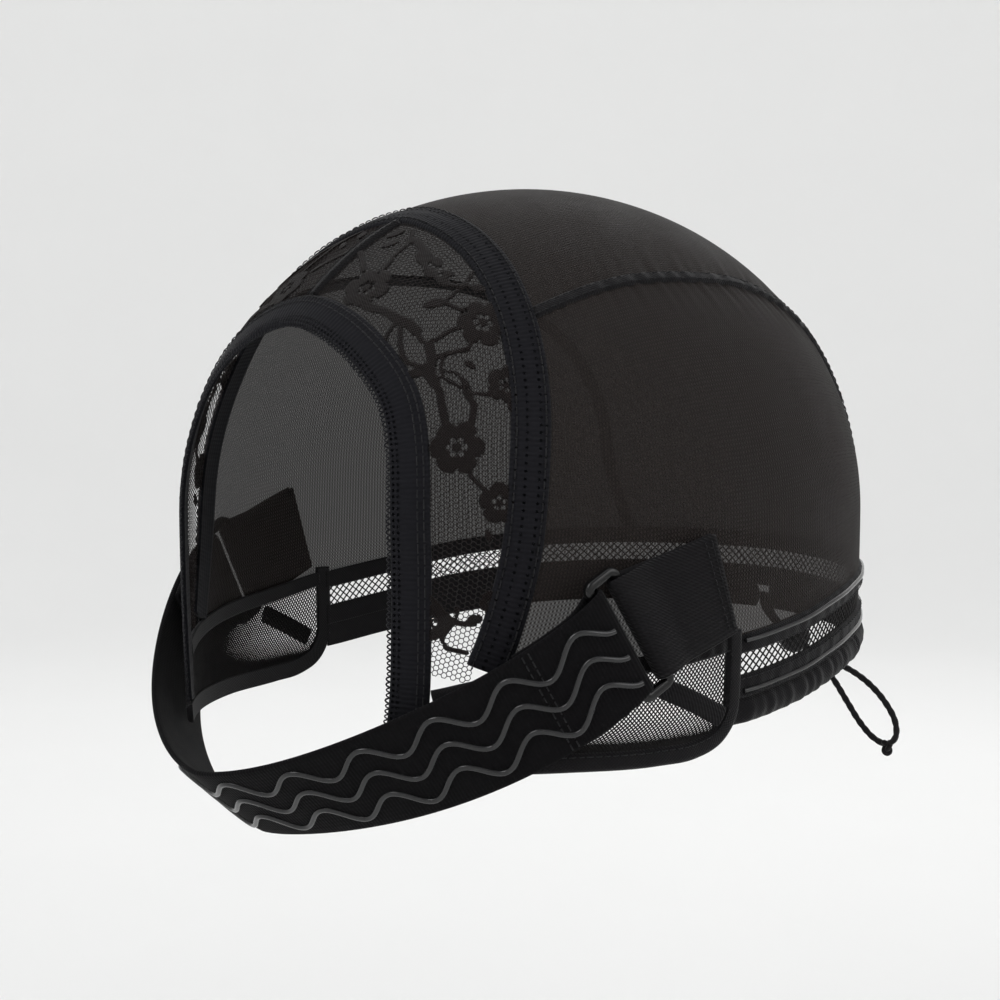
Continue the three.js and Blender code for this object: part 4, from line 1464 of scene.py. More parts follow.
FLOWERS = (
    Flower(16.5, -8.0, 6.4, 6, 20), Flower(43.5, 8.0, 5.8, 6, 0), Flower(71.0, -2.8, 6.2, 6, 30),
    Flower(58.0, 8.8, 4.2, 5, 10), Flower(83.0, 6.6, 4.6, 5, 40), Flower(50.6, -7.6, 2.3, 5, 0),
    Flower(110.5, -6.2, 4.4, 5, 15), Flower(104.0, 6.4, 2.8, 5, 0),
)
STEMS = (
    Stem(((1.0, 0.5), (5.5, -2.0), (9.5, -4.5)), 0.55),
    Stem(((15.0, -3.0), (13.5, 0.5), (12.0, 3.0), (11.0, 7.0), (9.5, 9.5), (6.0, 12.5)), 0.4),
    Stem(((9.5, 9.5), (13.0, 9.3), (16.0, 8.5)), 0.7),
    Stem(((16.0, 8.5), (18.5, 6.5), (23.5, 4.8), (30.0, 5.5), (31.5, 7.0), (33.0, 9.5)), 0.4),
    Stem(((30.0, 12.5), (32.0, 10.0), (33.5, 6.0), (34.5, 3.5), (34.0, 1.0)), 0.35),
    Stem(((35.0, 3.0), (37.0, 4.0), (39.0, 5.5)), 0.4),
    Stem(((43.0, 4.0), (42.5, 1.0), (43.5, -3.5), (44.0, -5.0)), 0.4),
    Stem(((44.0, -5.0), (47.0, -5.5), (49.5, -6.0), (50.5, -7.5)), 0.85),
    Stem(((22.0, -11.5), (25.0, -10.8), (27.0, -9.5), (31.5, -8.5)), 0.8),
    Stem(((31.5, -8.5), (33.5, -8.0), (35.0, -6.8), (39.0, -6.0)), 0.95),
    Stem(((36.5, -13.5), (34.5, -11.0), (33.0, -8.5)), 0.5),
    Stem(((34.5, -8.0), (36.5, -9.2), (39.5, -10.5), (43.5, -11.5), (46.5, -11.0), (50.5, -7.5)), 0.5),
    Stem(((39.0, -6.0), (42.0, -6.2), (44.0, -5.0)), 0.45),
    Stem(((50.5, -11.5), (50.5, -7.5), (54.5, -6.5)), 1.0),
    Stem(((48.5, -5.5), (48.0, -3.0), (48.5, 2.5), (47.0, 4.0)), 0.4),
    Stem(((48.5, -3.0), (51.5, -4.5), (54.0, -4.2), (56.5, -2.0), (59.0, 1.5), (60.0, 6.0)), 0.3),
    Stem(((52.0, -4.0), (53.5, -1.5), (55.5, 0.0), (58.0, 1.0)), 0.28),
    Stem(((54.5, -6.5), (57.5, -5.6), (60.5, -5.6), (66.0, -5.0)), 0.7),
    Stem(((58.5, 0.0), (61.5, 1.5), (66.0, 0.5)), 0.6),
    Stem(((75.0, -1.0), (77.5, 0.5), (80.5, 3.5)), 0.4),
    Stem(((104.0, -8.0), (107.0, -4.0), (109.5, -1.0), (109.5, 1.5), (107.5, 4.5)), 0.38),
    Stem(((109.5, -1.0), (113.5, -3.0), (115.5, -1.5), (115.5, 3.0)), 0.35),
)
LEAVES = (
    Leaf(18.6, 7.0, 4.0, 1.6, -28), Leaf(24.8, 4.9, 2.8, 1.2, 5), Leaf(29.0, 5.6, 2.6, 1.0, 10),
    Leaf(22.6, 8.0, 2.2, 0.9, -12), Leaf(27.4, 7.8, 2.0, 0.8, 30), Leaf(33.8, 0.9, 3.3, 1.1, 72),
    Leaf(34.8, 11.2, 2.1, 0.9, 45), Leaf(6.5, 5.5, 2.4, 0.8, 60), Leaf(3.6, 9.6, 2.6, 0.9, 70),
    Leaf(52.2, 2.0, 1.8, 0.7, 38), Leaf(56.5, 0.2, 1.5, 0.6, 36), Leaf(108.3, 3.2, 2.4, 1.0, 125),
    Leaf(107.0, -0.8, 1.9, 0.5, 8), Leaf(63.0, 9.8, 2.0, 0.9, 20), Leaf(90.0, 4.5, 1.9, 0.7, 15),
)


class LaceChart:
    """Places lace figures on the head by millimetres along and across one lace half."""

    def __init__(self, pattern: Pattern) -> None:
        """Draws the lace's middle line.

        Args:
            pattern: the cap's cutting lines.
        """
        half = pattern.centre_seam_width / 2
        front = pattern.beside_hairline(
            pattern.hairline_width / 2, half / (pattern.hairline.length / 2), pattern.lace_foot)
        rear = pattern.beside_join(-pattern.join_width / 2, half / (pattern.join.length / 2), 1)
        share = np.linspace(0, 1, 80)
        edges = (front(share), rear(share))
        self.spots = HEAD.seat((edges[0] + edges[1]) / 2)
        self.middle = SurfacePath(self.spots)
        self.length = self.middle.length
        self.width = np.linalg.norm(edges[1] - edges[0], axis=1)

    def half_width(self, along: Array) -> Array:
        """Half the lace's width at distances along it.

        Args:
            along: millimetres from the centre seam.

        Returns:
            Half widths in millimetres.
        """
        spots = self.middle.at(np.clip(along / self.length, 0, 1)).reshape(-1, 3)
        gaps = np.linalg.norm(spots[:, None] - self.spots[None], axis=2)
        return (self.width[np.argmin(gaps, axis=1)] / 2).reshape(np.shape(along))

    def at(self, along: Array, across: Array, lift: Array | float) -> Array:
        """Points above the head at distances along and across the lace.

        Args:
            along: millimetres from the centre seam.
            across: millimetres from the middle line, plus towards the crown band.
            lift: height above the head.

        Returns:
            The points.
        """
        share = along / self.length
        points = HEAD.seat(self.middle.at(share))
        before = np.minimum(share, 0)[..., None] * self.length
        after = np.maximum(share - 1, 0)[..., None] * self.length
        tangent = self.middle.tangent(share)
        side = unit(np.cross(HEAD.normal(points), tangent))
        moved = points + side * np.asarray(across)[..., None] + tangent * (before + after)
        return HEAD.seat(moved, lift)


@dataclass
class LaceFront:
    """The face opening: hairline band, join band, centre seam and the lace between them."""

    pattern: Pattern
    shop: Workshop
    net_pitch: float = 1.18
    net_thread: float = 0.115
    net_lift: float = 0.6
    figure_cell: float = 0.42
    figure_wall: float = 0.34
    picot_pitch: float = 1.2

    def build(self) -> None:
        """Builds the bands and both lace halves."""
        self._bands()
        self._centre_seam()
        chart = LaceChart(self.pattern)
        for side in Side:
            self._net(chart, side)
            self._figures(chart, side)

    def _bands(self) -> None:
        """The two elastic bands with their stitches and the picots of the hairline."""
        p = self.pattern
        half = p.hairline_width / 2
        front = Patch(beside(p.hairline, -half), beside(p.hairline, half))
        self.shop.strip("hairline_elastic", front, 420, ribbed(p.band_wall), "hairline_band", BAND_ELASTIC)
        rear = Patch(beside(p.join, -half), beside(p.join, half))
        self.shop.strip("lace_join_elastic", rear, 420, ribbed(p.band_wall), "lace_join_band", JOIN_ELASTIC)
        loops = row_on_head(beside(p.hairline, -half + 0.1), p.band_wall * 0.55, side=-1.0)
        self.shop.stitches("hairline_picots", [loops], "band_elastic", self.picot_pitch,
                           self.picot_pitch * 0.95, 0.85, 0.2, PICOT_THREAD)
        rows = [row_on_head(beside(p.hairline, offset), p.band_wall) for offset in (half - 1.2, half - 2.6)]
        rows += [row_on_head(beside(p.join, offset), p.band_wall) for offset in (1.3 - half, half - 1.3)]
        self.shop.stitches("band_stitches", rows, "band_elastic")

    def _centre_seam(self) -> None:
        """The tape over the forehead where the lace halves meet."""
        p = self.pattern
        half = np.array([p.centre_seam_width / 2, 0.0, 0.0])
        front = point_of(p.beside_hairline(p.hairline_width / 2), 0) + half
        rear = point_of(p.beside_join(-p.join_width / 2), 0) + half
        edge = straight(front, rear)
        tape = Patch(edge, mirrored(edge))
        self.shop.strip("forehead_tape", tape, 40, ribbed(p.band_wall), "lace_centre_seam")
        rows = [row_on_head(straight(front - half * k, rear - half * k), p.band_wall) for k in (0.4, 1.6)]
        self.shop.stitches("forehead_stitches", rows, "soft_binding", 1.8, 1.4)

    def _net(self, chart: LaceChart, side: Side) -> None:
        """One half's hexagonal ground net.

        Args:
            chart: where the lace lies.
            side: the wearer's side that it is built on.
        """
        pitch = self.net_pitch
        rise = pitch * math.sqrt(3) / 2
        reach = float(chart.width.max()) / 2 + 2
        columns = int(chart.length / pitch) + 6
        rows = int(2 * reach / rise) + 1
        row, column = np.indices((rows + 1, columns + 1)).reshape(2, -1)
        along = (column - 2 + 0.5 * (row % 2)) * pitch
        across = row * rise - reach
        inside = np.abs(across) < chart.half_width(along) + 1.2
        inside &= (along > -0.8) & (along < chart.length + 2.5)
        row, column = np.indices((rows, columns)).reshape(2, -1)
        a = row * (columns + 1) + column
        b, c, d = a + 1, a + columns + 1, a + columns + 2
        odd = row % 2 == 1
        pairs = [a, b, np.where(odd, d, c), np.where(odd, a, b), d, c]
        faces = np.stack(pairs, 1).reshape(-1, 3)
        faces = faces[inside[faces].all(axis=1)]
        used, index = np.unique(faces, return_inverse=True)
        points = side.turn(chart.at(along[used], across[used], self.net_lift))
        carrier = mesh_object(f"lace_ground_{side.value}", points, index.reshape(faces.shape).tolist())
        self.shop.net(self.shop.honeycomb, carrier, self.net_thread, 3, LACE_GROUND,
                      f"lace_front_{side.value}")

    def _field(self, along: Array, across: Array) -> Array:
        """How deep inside a lace figure each spot lies, in millimetres, negative outside.

        Args:
            along: distances along the lace.
            across: distances across it.

        Returns:
            The depths.
        """
        depth = np.full(along.shape, -9.0)
        for stem in STEMS:
            for (a, b), (c, d) in zip(stem.points[:-1], stem.points[1:]):
                run = np.array([c - a, d - b])
                share = ((along - a) * run[0] + (across - b) * run[1]) / max(run @ run, 1e-9)
                share = np.clip(share, 0, 1)
                gap = np.hypot(along - a - run[0] * share, across - b - run[1] * share)
                depth = np.maximum(depth, stem.half * 1.4 - gap)
        for leaf in LEAVES:
            turn = math.radians(leaf.turn)
            x = (along - leaf.along) * math.cos(turn) + (across - leaf.across) * math.sin(turn)
            y = (across - leaf.across) * math.cos(turn) - (along - leaf.along) * math.sin(turn)
            shape = 1.3 * leaf.width * (1 - (x / leaf.length) ** 2) - np.abs(y)
            depth = np.maximum(depth, np.where(np.abs(x) < leaf.length, shape, -9.0))
        for flower in FLOWERS:
            depth = self._bloom(flower, along, across, depth)
        return depth

    def _bloom(self, flower: Flower, along: Array, across: Array, depth: Array) -> Array:
        """Adds one flower to the depths.

        Args:
            flower: the flower.
            along: distances along the lace.
            across: distances across it.
            depth: the depths so far.

        Returns:
            The depths with the flower.
        """
        gap = np.hypot(along - flower.along, across - flower.across)
        way = np.arctan2(across - flower.across, along - flower.along) - math.radians(flower.turn)
        scallop = np.abs(np.cos(way * flower.petals / 2)) ** 0.6
        depth = np.maximum(depth, flower.radius * (0.8 + 0.2 * scallop) - gap)
        eyelet = 0.11 * flower.radius
        holes = np.full(along.shape, -9.0)
        for k in range(flower.petals):
            turn = math.radians(flower.turn) + 2 * math.pi * k / flower.petals
            for reach, size, skew in ((0.27, eyelet, 0.0), (0.8, eyelet * 0.5, math.pi / flower.petals)):
                x = flower.along + flower.radius * reach * math.cos(turn + skew)
                y = flower.across + flower.radius * reach * math.sin(turn + skew)
                holes = np.maximum(holes, size - np.hypot(along - x, across - y))
        return np.minimum(depth, -holes)

    def _figures(self, chart: LaceChart, side: Side) -> None:
        """One half's flowers, leaves and stems as one pierced sheet.

        Args:
            chart: where the lace lies.
            side: the wearer's side that it is built on.
        """
        cell = self.figure_cell
        reach = float(chart.width.max()) / 2 + 1
        along = np.arange(-0.4, chart.length + 1.5, cell)
        across = np.arange(-reach, reach, cell)
        u, v = np.meshgrid(along, across, indexing="ij")
        bound = chart.half_width(u) + 0.6 - np.abs(v)
        depth = np.minimum(self._field(u, v), bound)
        slope_u, slope_v = np.gradient(depth, cell)
        steep = np.maximum(slope_u ** 2 + slope_v ** 2, 0.2)
        near = np.abs(depth) < cell * 0.75
        shift = np.where(near, -depth / steep, 0.0)
        u = u + shift * slope_u
        v = v + shift * slope_v
        keep = depth > -cell * 0.45
        keep = keep[:-1, :-1] & keep[1:, :-1] & keep[1:, 1:] & keep[:-1, 1:]
        faces = cells(*np.nonzero(keep), depth.shape[1])
        used, index = np.unique(faces, return_inverse=True)
        flat_u, flat_v = u.ravel()[used], v.ravel()[used]
        points = side.turn(chart.at(flat_u, flat_v, self.net_lift + 0.12))
        faces = index.reshape(faces.shape)
        if side is Side.RIGHT:
            faces = faces[:, ::-1]
        corner = np.stack([flat_u[faces], flat_v[faces]], axis=-1).reshape(-1, 2)
        sheet = mesh_object(f"lace_figures_{side.value}", points, faces.tolist(), corner)
        wall = sheet.modifiers.new("wall", "SOLIDIFY")
        wall.thickness = self.figure_wall * MM
        wall.offset = 1.0
        self.shop.keep(sheet, LACE_FIGURE)


@dataclass
class Panels:
    """The crown and side panels of sheer mesh, and the ridged seams between them."""

    pattern: Pattern
    shop: Workshop
    lift: float = 0.7
    tuck: float = 0.9
    seam_overlap: float = 0.3
    pucker: float = 0.2

    def build(self) -> None:
        """Builds the three panels and the two seams."""
        p = self.pattern
        on_join = 2 * self.seam_overlap / p.join.length
        on_nape = 2 * self.seam_overlap / p.nape.length
        join_rear = p.join_width / 2 - self.tuck
        nape_top = p.nape_top - self.tuck
        front = p.beside_join(join_rear, 0, p.seam_on_join - on_join)
        back = p.above_nape(nape_top, p.seam_on_nape + on_nape, 1)
        upper = between(beside(p.panel_seam, self.seam_overlap), front, back)
        crown = Patch(upper, mirrored(upper), over_both(front), over_both(reverse(back)))
        self._sheet("crown_mesh", crown, 200, 170, "crown_panel", both=True)
        casing_top = beside(p.ear_casing, p.ear_casing_width / 2 - self.tuck, p.casing_at_join, 1)
        nape_edge = p.above_nape(nape_top, 0, p.seam_on_nape - on_nape)
        join_edge = p.beside_join(join_rear, p.seam_on_join + on_join, 1)
        foot = chain(
            straight(point_of(join_edge, 1), point_of(casing_top, 0)),
            casing_top,
            straight(point_of(casing_top, 1), point_of(nape_edge, 0)),
            nape_edge,
        )
        under = beside(p.panel_seam, -self.seam_overlap)
        lower = between(under, reverse(join_edge), reverse(nape_edge))
        near = part_of(lower, 0, p.seam_turn)
        end = part_of(lower, p.seam_turn, 1)
        for side in Side:
            patch = Patch(side.of(near), side.of(foot), side.of(join_edge), side.of(end))
            self._sheet(f"side_mesh_{side.value}", patch, 150, 110, f"side_panel_{side.value}",
                        flipped=side is Side.RIGHT)
            self._seam(side)

    def _sheet(self, name: str, patch: Patch, steps: int, strips: int, node: str, both: bool = False,
               flipped: bool = False) -> None:
        """One panel of mesh, puckered where the seams gather it.

        Args:
            name: the piece's name.
            patch: its outline.
            steps: the number of steps along it.
            strips: the number of steps across.
            node: the CAD node that it stands for.
            both: it is gathered at both long edges.
            flipped: the patch is mirrored.
        """
        along = np.linspace(0, 1, steps + 1)
        across = np.linspace(0, 1, strips + 1)
        seats = patch.at(along, across)
        distance = np.broadcast_to((along * patch.length)[:, None], seats.shape[:2])
        reach = np.linalg.norm(seats - seats[:, :1], axis=-1)
        far = np.linalg.norm(seats - seats[:, -1:], axis=-1)
        near_edge = np.exp(-(reach / 6.0) ** 1.3) * smoothstep(reach, 0, 1.2)
        pucker = Ripple(5.5, self.pucker, 3).lift(distance) * near_edge
        if both:
            far_edge = np.exp(-(far / 6.0) ** 1.3) * smoothstep(far, 0, 1.2)
            pucker += Ripple(5.5, self.pucker, 5).lift(distance) * far_edge
        grid = HEAD.seat(seats, self.lift + pucker)
        if flipped:
            grid = grid[:, ::-1]
            across = across[::-1]
        width = max(patch.width, float(reach.max()))
        uv = uv_grid(along * patch.length, across * width)
        sheet = grid_object(name, grid, uv if both else uv[..., ::-1])
        self.shop.keep(sheet, MESH_CLOTH, node)

    def _seam(self, side: Side) -> None:
        """The stitched ridge between two panels.

        Args:
            side: the wearer's side that it is built on.
        """
        p = self.pattern
        patch = Patch(side.of(p.seam_lower), side.of(p.seam_upper))
        lift = ribbed(p.band_wall, Ripple(6.0, 0.22, 11))
        self.shop.strip(f"panel_seam_tape_{side.value}", patch, 320, lift, f"panel_seam_{side.value}")
        edges = [side.of(beside(p.panel_seam, offset)) for offset in (-0.9, 0.9)]
        rows = [row_on_head(edge, p.band_wall * 0.92) for edge in edges]
        self.shop.stitches(f"panel_seam_stitches_{side.value}", rows, "soft_binding", 2.2, 1.7)


def diamond_net(patch: Patch, pitch: float, rise: float, lift: float) -> tuple[Array, list[tuple[int, int]]]:
    """Strands of a diamond net inside a patch.

    Args:
        patch: the outline.
        pitch: the width of a diamond.
        rise: its height.
        lift: the strands' height above the head.

    Returns:
        Points in millimetres and the edges between them.
    """
    columns = max(int(round(2 * patch.length / pitch)), 2)
    rows = max(int(round(2 * patch.width / rise)), 2)
    seats = patch.at(np.linspace(0, 1, columns + 1), np.linspace(0, 1, rows + 1))
    points = HEAD.seat(seats, lift)
    number = {}
    spots = []
    edges = []
    for i in range(columns + 1):
        for j in range(rows + 1):
            if (i + j) % 2 == 0:
                number[i, j] = len(spots)
                spots.append(points[i, j])
    for (i, j), here in number.items():
        for step in (1, -1):
            if (i + 1, j + step) in number:
                edges.append((here, number[i + 1, j + step]))
    return np.array(spots), edges


@dataclass
class EarTabs:
    """The ear tabs: gathered casing, power net, soft binding and the elastic across the net."""

    pattern: Pattern
    shop: Workshop
    net_pitch: float = 0.95
    net_thread: float = 0.21

    def build(self) -> None:
        """Builds both ears."""
        for side in Side:
            self._bands(side)
            self._net(side)

    def _bands(self, side: Side) -> None:
        """The casing, the binding and the short elastic.

        Args:
            side: the wearer's side that it is built on.
        """
        p = self.pattern
        half = p.ear_casing_width / 2
        edges = [side.of(lengthened(beside(p.ear_casing, offset), 1.0, 1.6)) for offset in (-half, half)]
        patch = Patch(*edges)
        lift = tucked(ribbed(p.band_wall, Ripple(3.4, 0.3, 21)), 0.7, 0.7, patch.length)
        self.shop.strip(f"ear_casing_tape_{side.value}", patch, 160, lift, f"ear_casing_{side.value}")
        half = p.binding_width / 2
        edges = [side.of(lengthened(beside(p.binding, offset), 0.0, 2.0)) for offset in (-half, half)]
        lift = ribbed(p.band_wall, Ripple(9.0, 0.1, 23))
        patch = Patch(*edges)
        self.shop.strip(f"ear_binding_tape_{side.value}", patch, 260, lift, f"ear_binding_{side.value}")
        half = p.ear_elastic_width / 2
        seat = p.band_wall + p.gap
        patch = Patch(side.of(beside(p.ear_elastic, -half)), side.of(beside(p.ear_elastic, half)))
        self.shop.strip(f"ear_strip_{side.value}", patch, 50, ribbed(seat + p.mesh_wall),
                        f"ear_elastic_{side.value}", TAB_ELASTIC, base=seat)
        rows = [row_on_head(side.of(beside(p.binding, 1.5)), p.band_wall * 0.97)]
        rows.append(row_on_head(side.of(beside(p.ear_casing, -1.2)), p.band_wall * 0.97))
        self.shop.stitches(f"ear_stitches_{side.value}", rows, "soft_binding", 2.0, 1.5)

    def _net(self, side: Side) -> None:
        """The power net inside the casing and the binding.

        Args:
            side: the wearer's side that it is built on.
        """
        p = self.pattern
        inner = p.binding_width / 2 - 0.6
        patch = Patch(
            side.of(beside(p.ear_casing, 0.6 - p.ear_casing_width / 2)),
            side.of(beside(p.binding, inner, p.binding_at_hairline, p.binding_corner)),
            side.of(p.beside_hairline(p.hairline_width / 2 - 0.6, p.net_top, 1)),
            side.of(beside(p.binding, inner, 1, p.binding_corner)),
        )
        points, edges = diamond_net(patch, self.net_pitch, self.net_pitch, 0.5)
        carrier = edges_object(f"ear_power_net_{side.value}", points, edges)
        self.shop.net(self.shop.strands, carrier, self.net_thread, 3, NET_THREAD,
                      f"ear_net_{side.value}")


@dataclass
class Nape:
    """The nape from its hem up: hem halves, casings, net and silicone lines."""

    pattern: Pattern
    shop: Workshop
    lower_seat: float = 0.35
    upper_seat: float = 0.7
    line_radius: float = 0.6
    net_pitch: float = 2.2
    net_thread: float = 0.2

    def build(self) -> None:
        """Builds the bands, the net and the lines."""
        self._casings()
        self._hem()
        self._net()
        self._lines()

    def _between(self, low: float, high: float) -> Patch:
        """A patch round the whole nape between two heights."""
        return Patch(*(lengthened(raised(self.pattern.nape, height), 1.6, 1.6) for height in (low, high)))

    def _casings(self) -> None:
        """The two gathered casings."""
        p = self.pattern
        for key, low, high, seed in (
                ("lower", p.casing_foot, p.net_foot, 31), ("upper", p.upper_foot, p.nape_top, 33)):
            patch = self._between(low, high)
            lift = tucked(ribbed(p.band_wall, Ripple(5.0, 0.16, seed)), 0.7, 0.7, patch.length)
            self.shop.strip(f"{key}_casing_tape", patch, 420, lift, f"nape_{key}_casing")
        heights = (p.casing_foot + 0.5, p.net_foot - 0.6, p.upper_foot + 0.6)
        rows = [row_on_head(raised(p.nape, height), p.band_wall * 0.96) for height in heights]
        self.shop.stitches("nape_stitches", rows, "soft_binding", 2.0, 1.5)

    def _hem(self) -> None:
        """The drawstring hem in two halves."""
        p = self.pattern
        gathers = Ripple(4.2, 0.24, 41)
        slit = p.slit_width / 2 / (p.nape.length / 2)

        def swell(along: Array, across: Array) -> Array:
            """The height of the padded hem at spots of it."""
            return p.hem_wall * (0.45 + 0.5 * np.sin(np.pi * across)) + gathers.lift(along)

        for side in Side:
            halves = [p.above_nape(height, 0, 1 - slit) for height in (0, p.hem_height)]
            patch = Patch(*(side.of(lengthened(edge, 1.6, 0.0)) for edge in halves))
            lift = tucked(swell, 0.4, 0.85, patch.length)
            self.shop.strip(f"hem_tube_{side.value}", patch, 300, lift, f"nape_hem_{side.value}", strips=12)

    def _net(self) -> None:
        """The open net between the casings, three diamonds high."""
        p = self.pattern
        patch = self._between(p.net_foot - 0.5, p.upper_foot + 0.5)
        points, edges = diamond_net(patch, self.net_pitch, (p.net_height + 1) / 3, 0.55)
        carrier = edges_object("nape_open_net", points, edges)
        self.shop.net(self.shop.strands, carrier, self.net_thread, 5, NET_THREAD, "nape_net")

    def _lines(self) -> None:
        """The two silicone lines, slightly uneven as they were laid by a nozzle."""
        p = self.pattern
        share = np.linspace(0.001, 0.999, 420)
        heights = {
            "lower": p.casing_foot + p.lower_casing_height * self.lower_seat,
            "upper": p.upper_foot + p.upper_casing_height * self.upper_seat,
        }
        for key, height in heights.items():
            spots = raised(p.nape, height)(share)
            lifts = p.band_wall + 0.1 * np.sin(share * 90)
            self.shop.silicone_line(f"nape_silicone_{key}", HEAD.seat(spots, lifts), self.line_radius,
                                    f"nape_grip_{key}")


@dataclass
class Station:
    """Frames along a ribbon: middles, directions across it and directions out of it."""

    middle: Array
    across: Array
    out: Array

    def joined(self, *others: "Station") -> "Station":
        """This run of frames with others after it.

        Args:
            others: the runs that follow.

        Returns:
            The joined run.
        """
        parts = (self,) + others
        keys = ("middle", "across", "out")
        return Station(*(np.vstack([getattr(part, key) for part in parts]) for key in keys))

    def turned(self) -> "Station":
        """The frames on the wearer's other side, in the opposite order."""
        return Station(*((rows * MIRROR)[::-1] for rows in (self.middle, self.across, self.out)))


@dataclass
class GripStrap:
    """The wide strap with its silicone waves, the two rings and the tabs that hold them."""

    pattern: Pattern
    shop: Workshop
    ring_length: float = 31.4
    ring_width: float = 10.0
    ring_wire: float = 2.4
    wire_softness: float = 0.62
    ring_corner: float = 2.6
    ring_angle: float = 65.3
    ring_drop: float = 0.747
    ring_lean: float = 30.0
    ring_lift: float = 11.0
    tab_width: float = 25.0
    tab_wall: float = 1.1
    tab_length: float = 24.0
    tab_reach: tuple[float, float] = (1.06, 0.83)
    tab_drift: tuple[float, float] = (5.6, 3.6)
    strap_width: float = 26.0
    strap_wall: float = 1.3
    strap_reach: float = 64.0
    strap_tilt: float = 39.4
    strap_fullness: float = 1.54
    strap_cup: float = 0.18
    strap_bend: float = 3.0
    strap_fold: float = 23.0
    fold_ease: float = 9.0
    wave_length: float = 18.0
    wave_height: float = 5.4
    wave_spacing: float = 6.8
    wave_radius: float = 0.75

    def __post_init__(self) -> None:
        """Sets the frame that ring, tab and strap share on the wearer's left."""
        gap = self.pattern.gap
        self.tab_middle = self.pattern.band_wall + gap + self.tab_wall / 2
        self.tab_turn = self.ring_wire / 2 + gap + self.tab_wall / 2
        self.strap_turn = self.ring_wire / 2 + gap + self.strap_wall / 2
        self.foot = HEAD.place([[self.ring_angle, self.ring_drop]])[0]
        self.out = HEAD.normal(self.foot[None])[0]
        back = unit(np.cross(UP, self.out))
        down = unit(np.cross(back, self.out))
        lean = math.radians(self.ring_lean)
        self.axis = down * math.cos(lean) + back * math.sin(lean)
        forward = unit(np.cross(self.out, self.axis))
        self.forward = -forward if forward[1] > 0 else forward
        self.rear_bar = HEAD.seat(self.foot[None], self.tab_middle + self.tab_turn)[0]
        lift = math.radians(self.ring_lift)
        self.ring_across = self.forward * math.cos(lift) + self.out * math.sin(lift)
        self.bar_spacing = self.ring_width - self.ring_wire
        self.front_bar = self.rear_bar + self.ring_across * self.bar_spacing
        tilt = math.radians(self.strap_tilt)
        self.plane_forward = np.array([0.0, -math.cos(tilt), -math.sin(tilt)])
        self.plane_normal = np.array([0.0, math.sin(tilt), -math.cos(tilt)])
        self._draw_line(self.front_bar)
        start = self.frames(np.array([0.0]))
        self._draw_line(self.front_bar + start.out[0] * self.strap_turn)

    def _draw_line(self, start: Array) -> None:
        """Draws the strap's middle line, half a superellipse in its tilted plane.

        Args:
            start: where the line leaves the ring.
        """
        turn = np.linspace(0, np.pi, 6001)
        power = 2 / self.strap_fullness
        side = np.sign(np.cos(turn)) * np.abs(np.cos(turn)) ** power
        reach = self.strap_reach * np.abs(np.sin(turn)) ** power
        line = np.stack([start[0] * side, np.full_like(turn, start[1]), np.full_like(turn, start[2])], 1)
        self.line = line + reach[:, None] * self.plane_forward
        self.marks = run_length(self.line)
        self.length = float(self.marks[-1])
        self.runs = unit(np.gradient(self.line, axis=0))

    def frames(self, share: Array) -> Station:
        """Frames of the strap's middle line at shares of its length.

        Args:
            share: shares of the strap.

        Returns:
            The frames.
        """
        where = share * self.length
        middle = np.stack([np.interp(where, self.marks, self.line[:, k]) for k in range(3)], 1)
        along = unit(np.stack([np.interp(where, self.marks, self.runs[:, k]) for k in range(3)], 1))
        bend = (np.sin(np.pi * share) ** self.strap_bend)[:, None]
        axis = np.where((share < 0.5)[:, None], self.axis, self.axis * MIRROR)
        cup = np.cross(along, self.plane_normal)
        front = self.plane_normal - cup * self.strap_cup
        across = unit(axis * (1 - bend) + front * bend)
        return Station(middle, across, unit(np.cross(along, across)))

    def _stations(self) -> Station:
        """Frames of the whole strap: folded end, turn round the bar, loop, and the same again.

        Returns:
            The frames.
        """
        start = self.frames(np.array([0.0]))
        centre = start.middle[0] - start.out[0] * self.strap_turn
        back = unit(np.cross(start.out[0], start.across[0]))
        distance = np.linspace(self.strap_fold, 0, 26)
        fold = self.frames(distance / self.length)
        ease = smoothstep(distance, 0, self.fold_ease)
        depth = 2 * self.strap_turn + (self.strap_wall + self.pattern.gap - 2 * self.strap_turn) * ease
        under = Station(fold.middle - fold.out * depth[:, None], fold.across, -fold.out)
        angles = np.pi * (1 - np.linspace(0, 1, 14)[1:-1])
        out = start.out * np.cos(angles)[:, None] + back * np.sin(angles)[:, None]
        turn = Station(centre + out * self.strap_turn, np.repeat(start.across, len(angles), 0), out)
        end = under.joined(turn)
        loop = self.frames(np.linspace(0, 1, 281))
        return end.joined(loop, end.turned())

    def _ribbon(self, name: str, frames: Station, strips: int = 14) -> Piece:
        """The strap's elastic with rounded edges, along its frames.

        Args:
            name: the object's name.
            frames: the frames.
            strips: the number of steps across.

        Returns:
            The object.
        """
        half = self.strap_wall / 2
        edge = self.strap_width / 2
        flat = np.linspace(-edge + half, edge - half, strips + 1)
        turns = np.linspace(-np.pi / 2, np.pi / 2, 5)[1:-1]
        right = np.stack([edge - half + half * np.cos(turns), -half * np.sin(turns)], 1)
        left = np.stack([half - edge - half * np.cos(turns), half * np.sin(turns)], 1)
        top = np.stack([flat, np.full_like(flat, half)], 1)
        foot = np.stack([flat[::-1], np.full_like(flat, -half)], 1)
        section = np.vstack([top, right, foot, left])
        grid = (frames.middle[:, None] + frames.across[:, None] * section[None, :, :1]
                + frames.out[:, None] * section[None, :, 1:])
        uv = uv_grid(run_length(frames.middle), np.append(section[:, 0], section[0, 0]))
        return grid_object(name, grid, uv, wrap=True, capped=True)

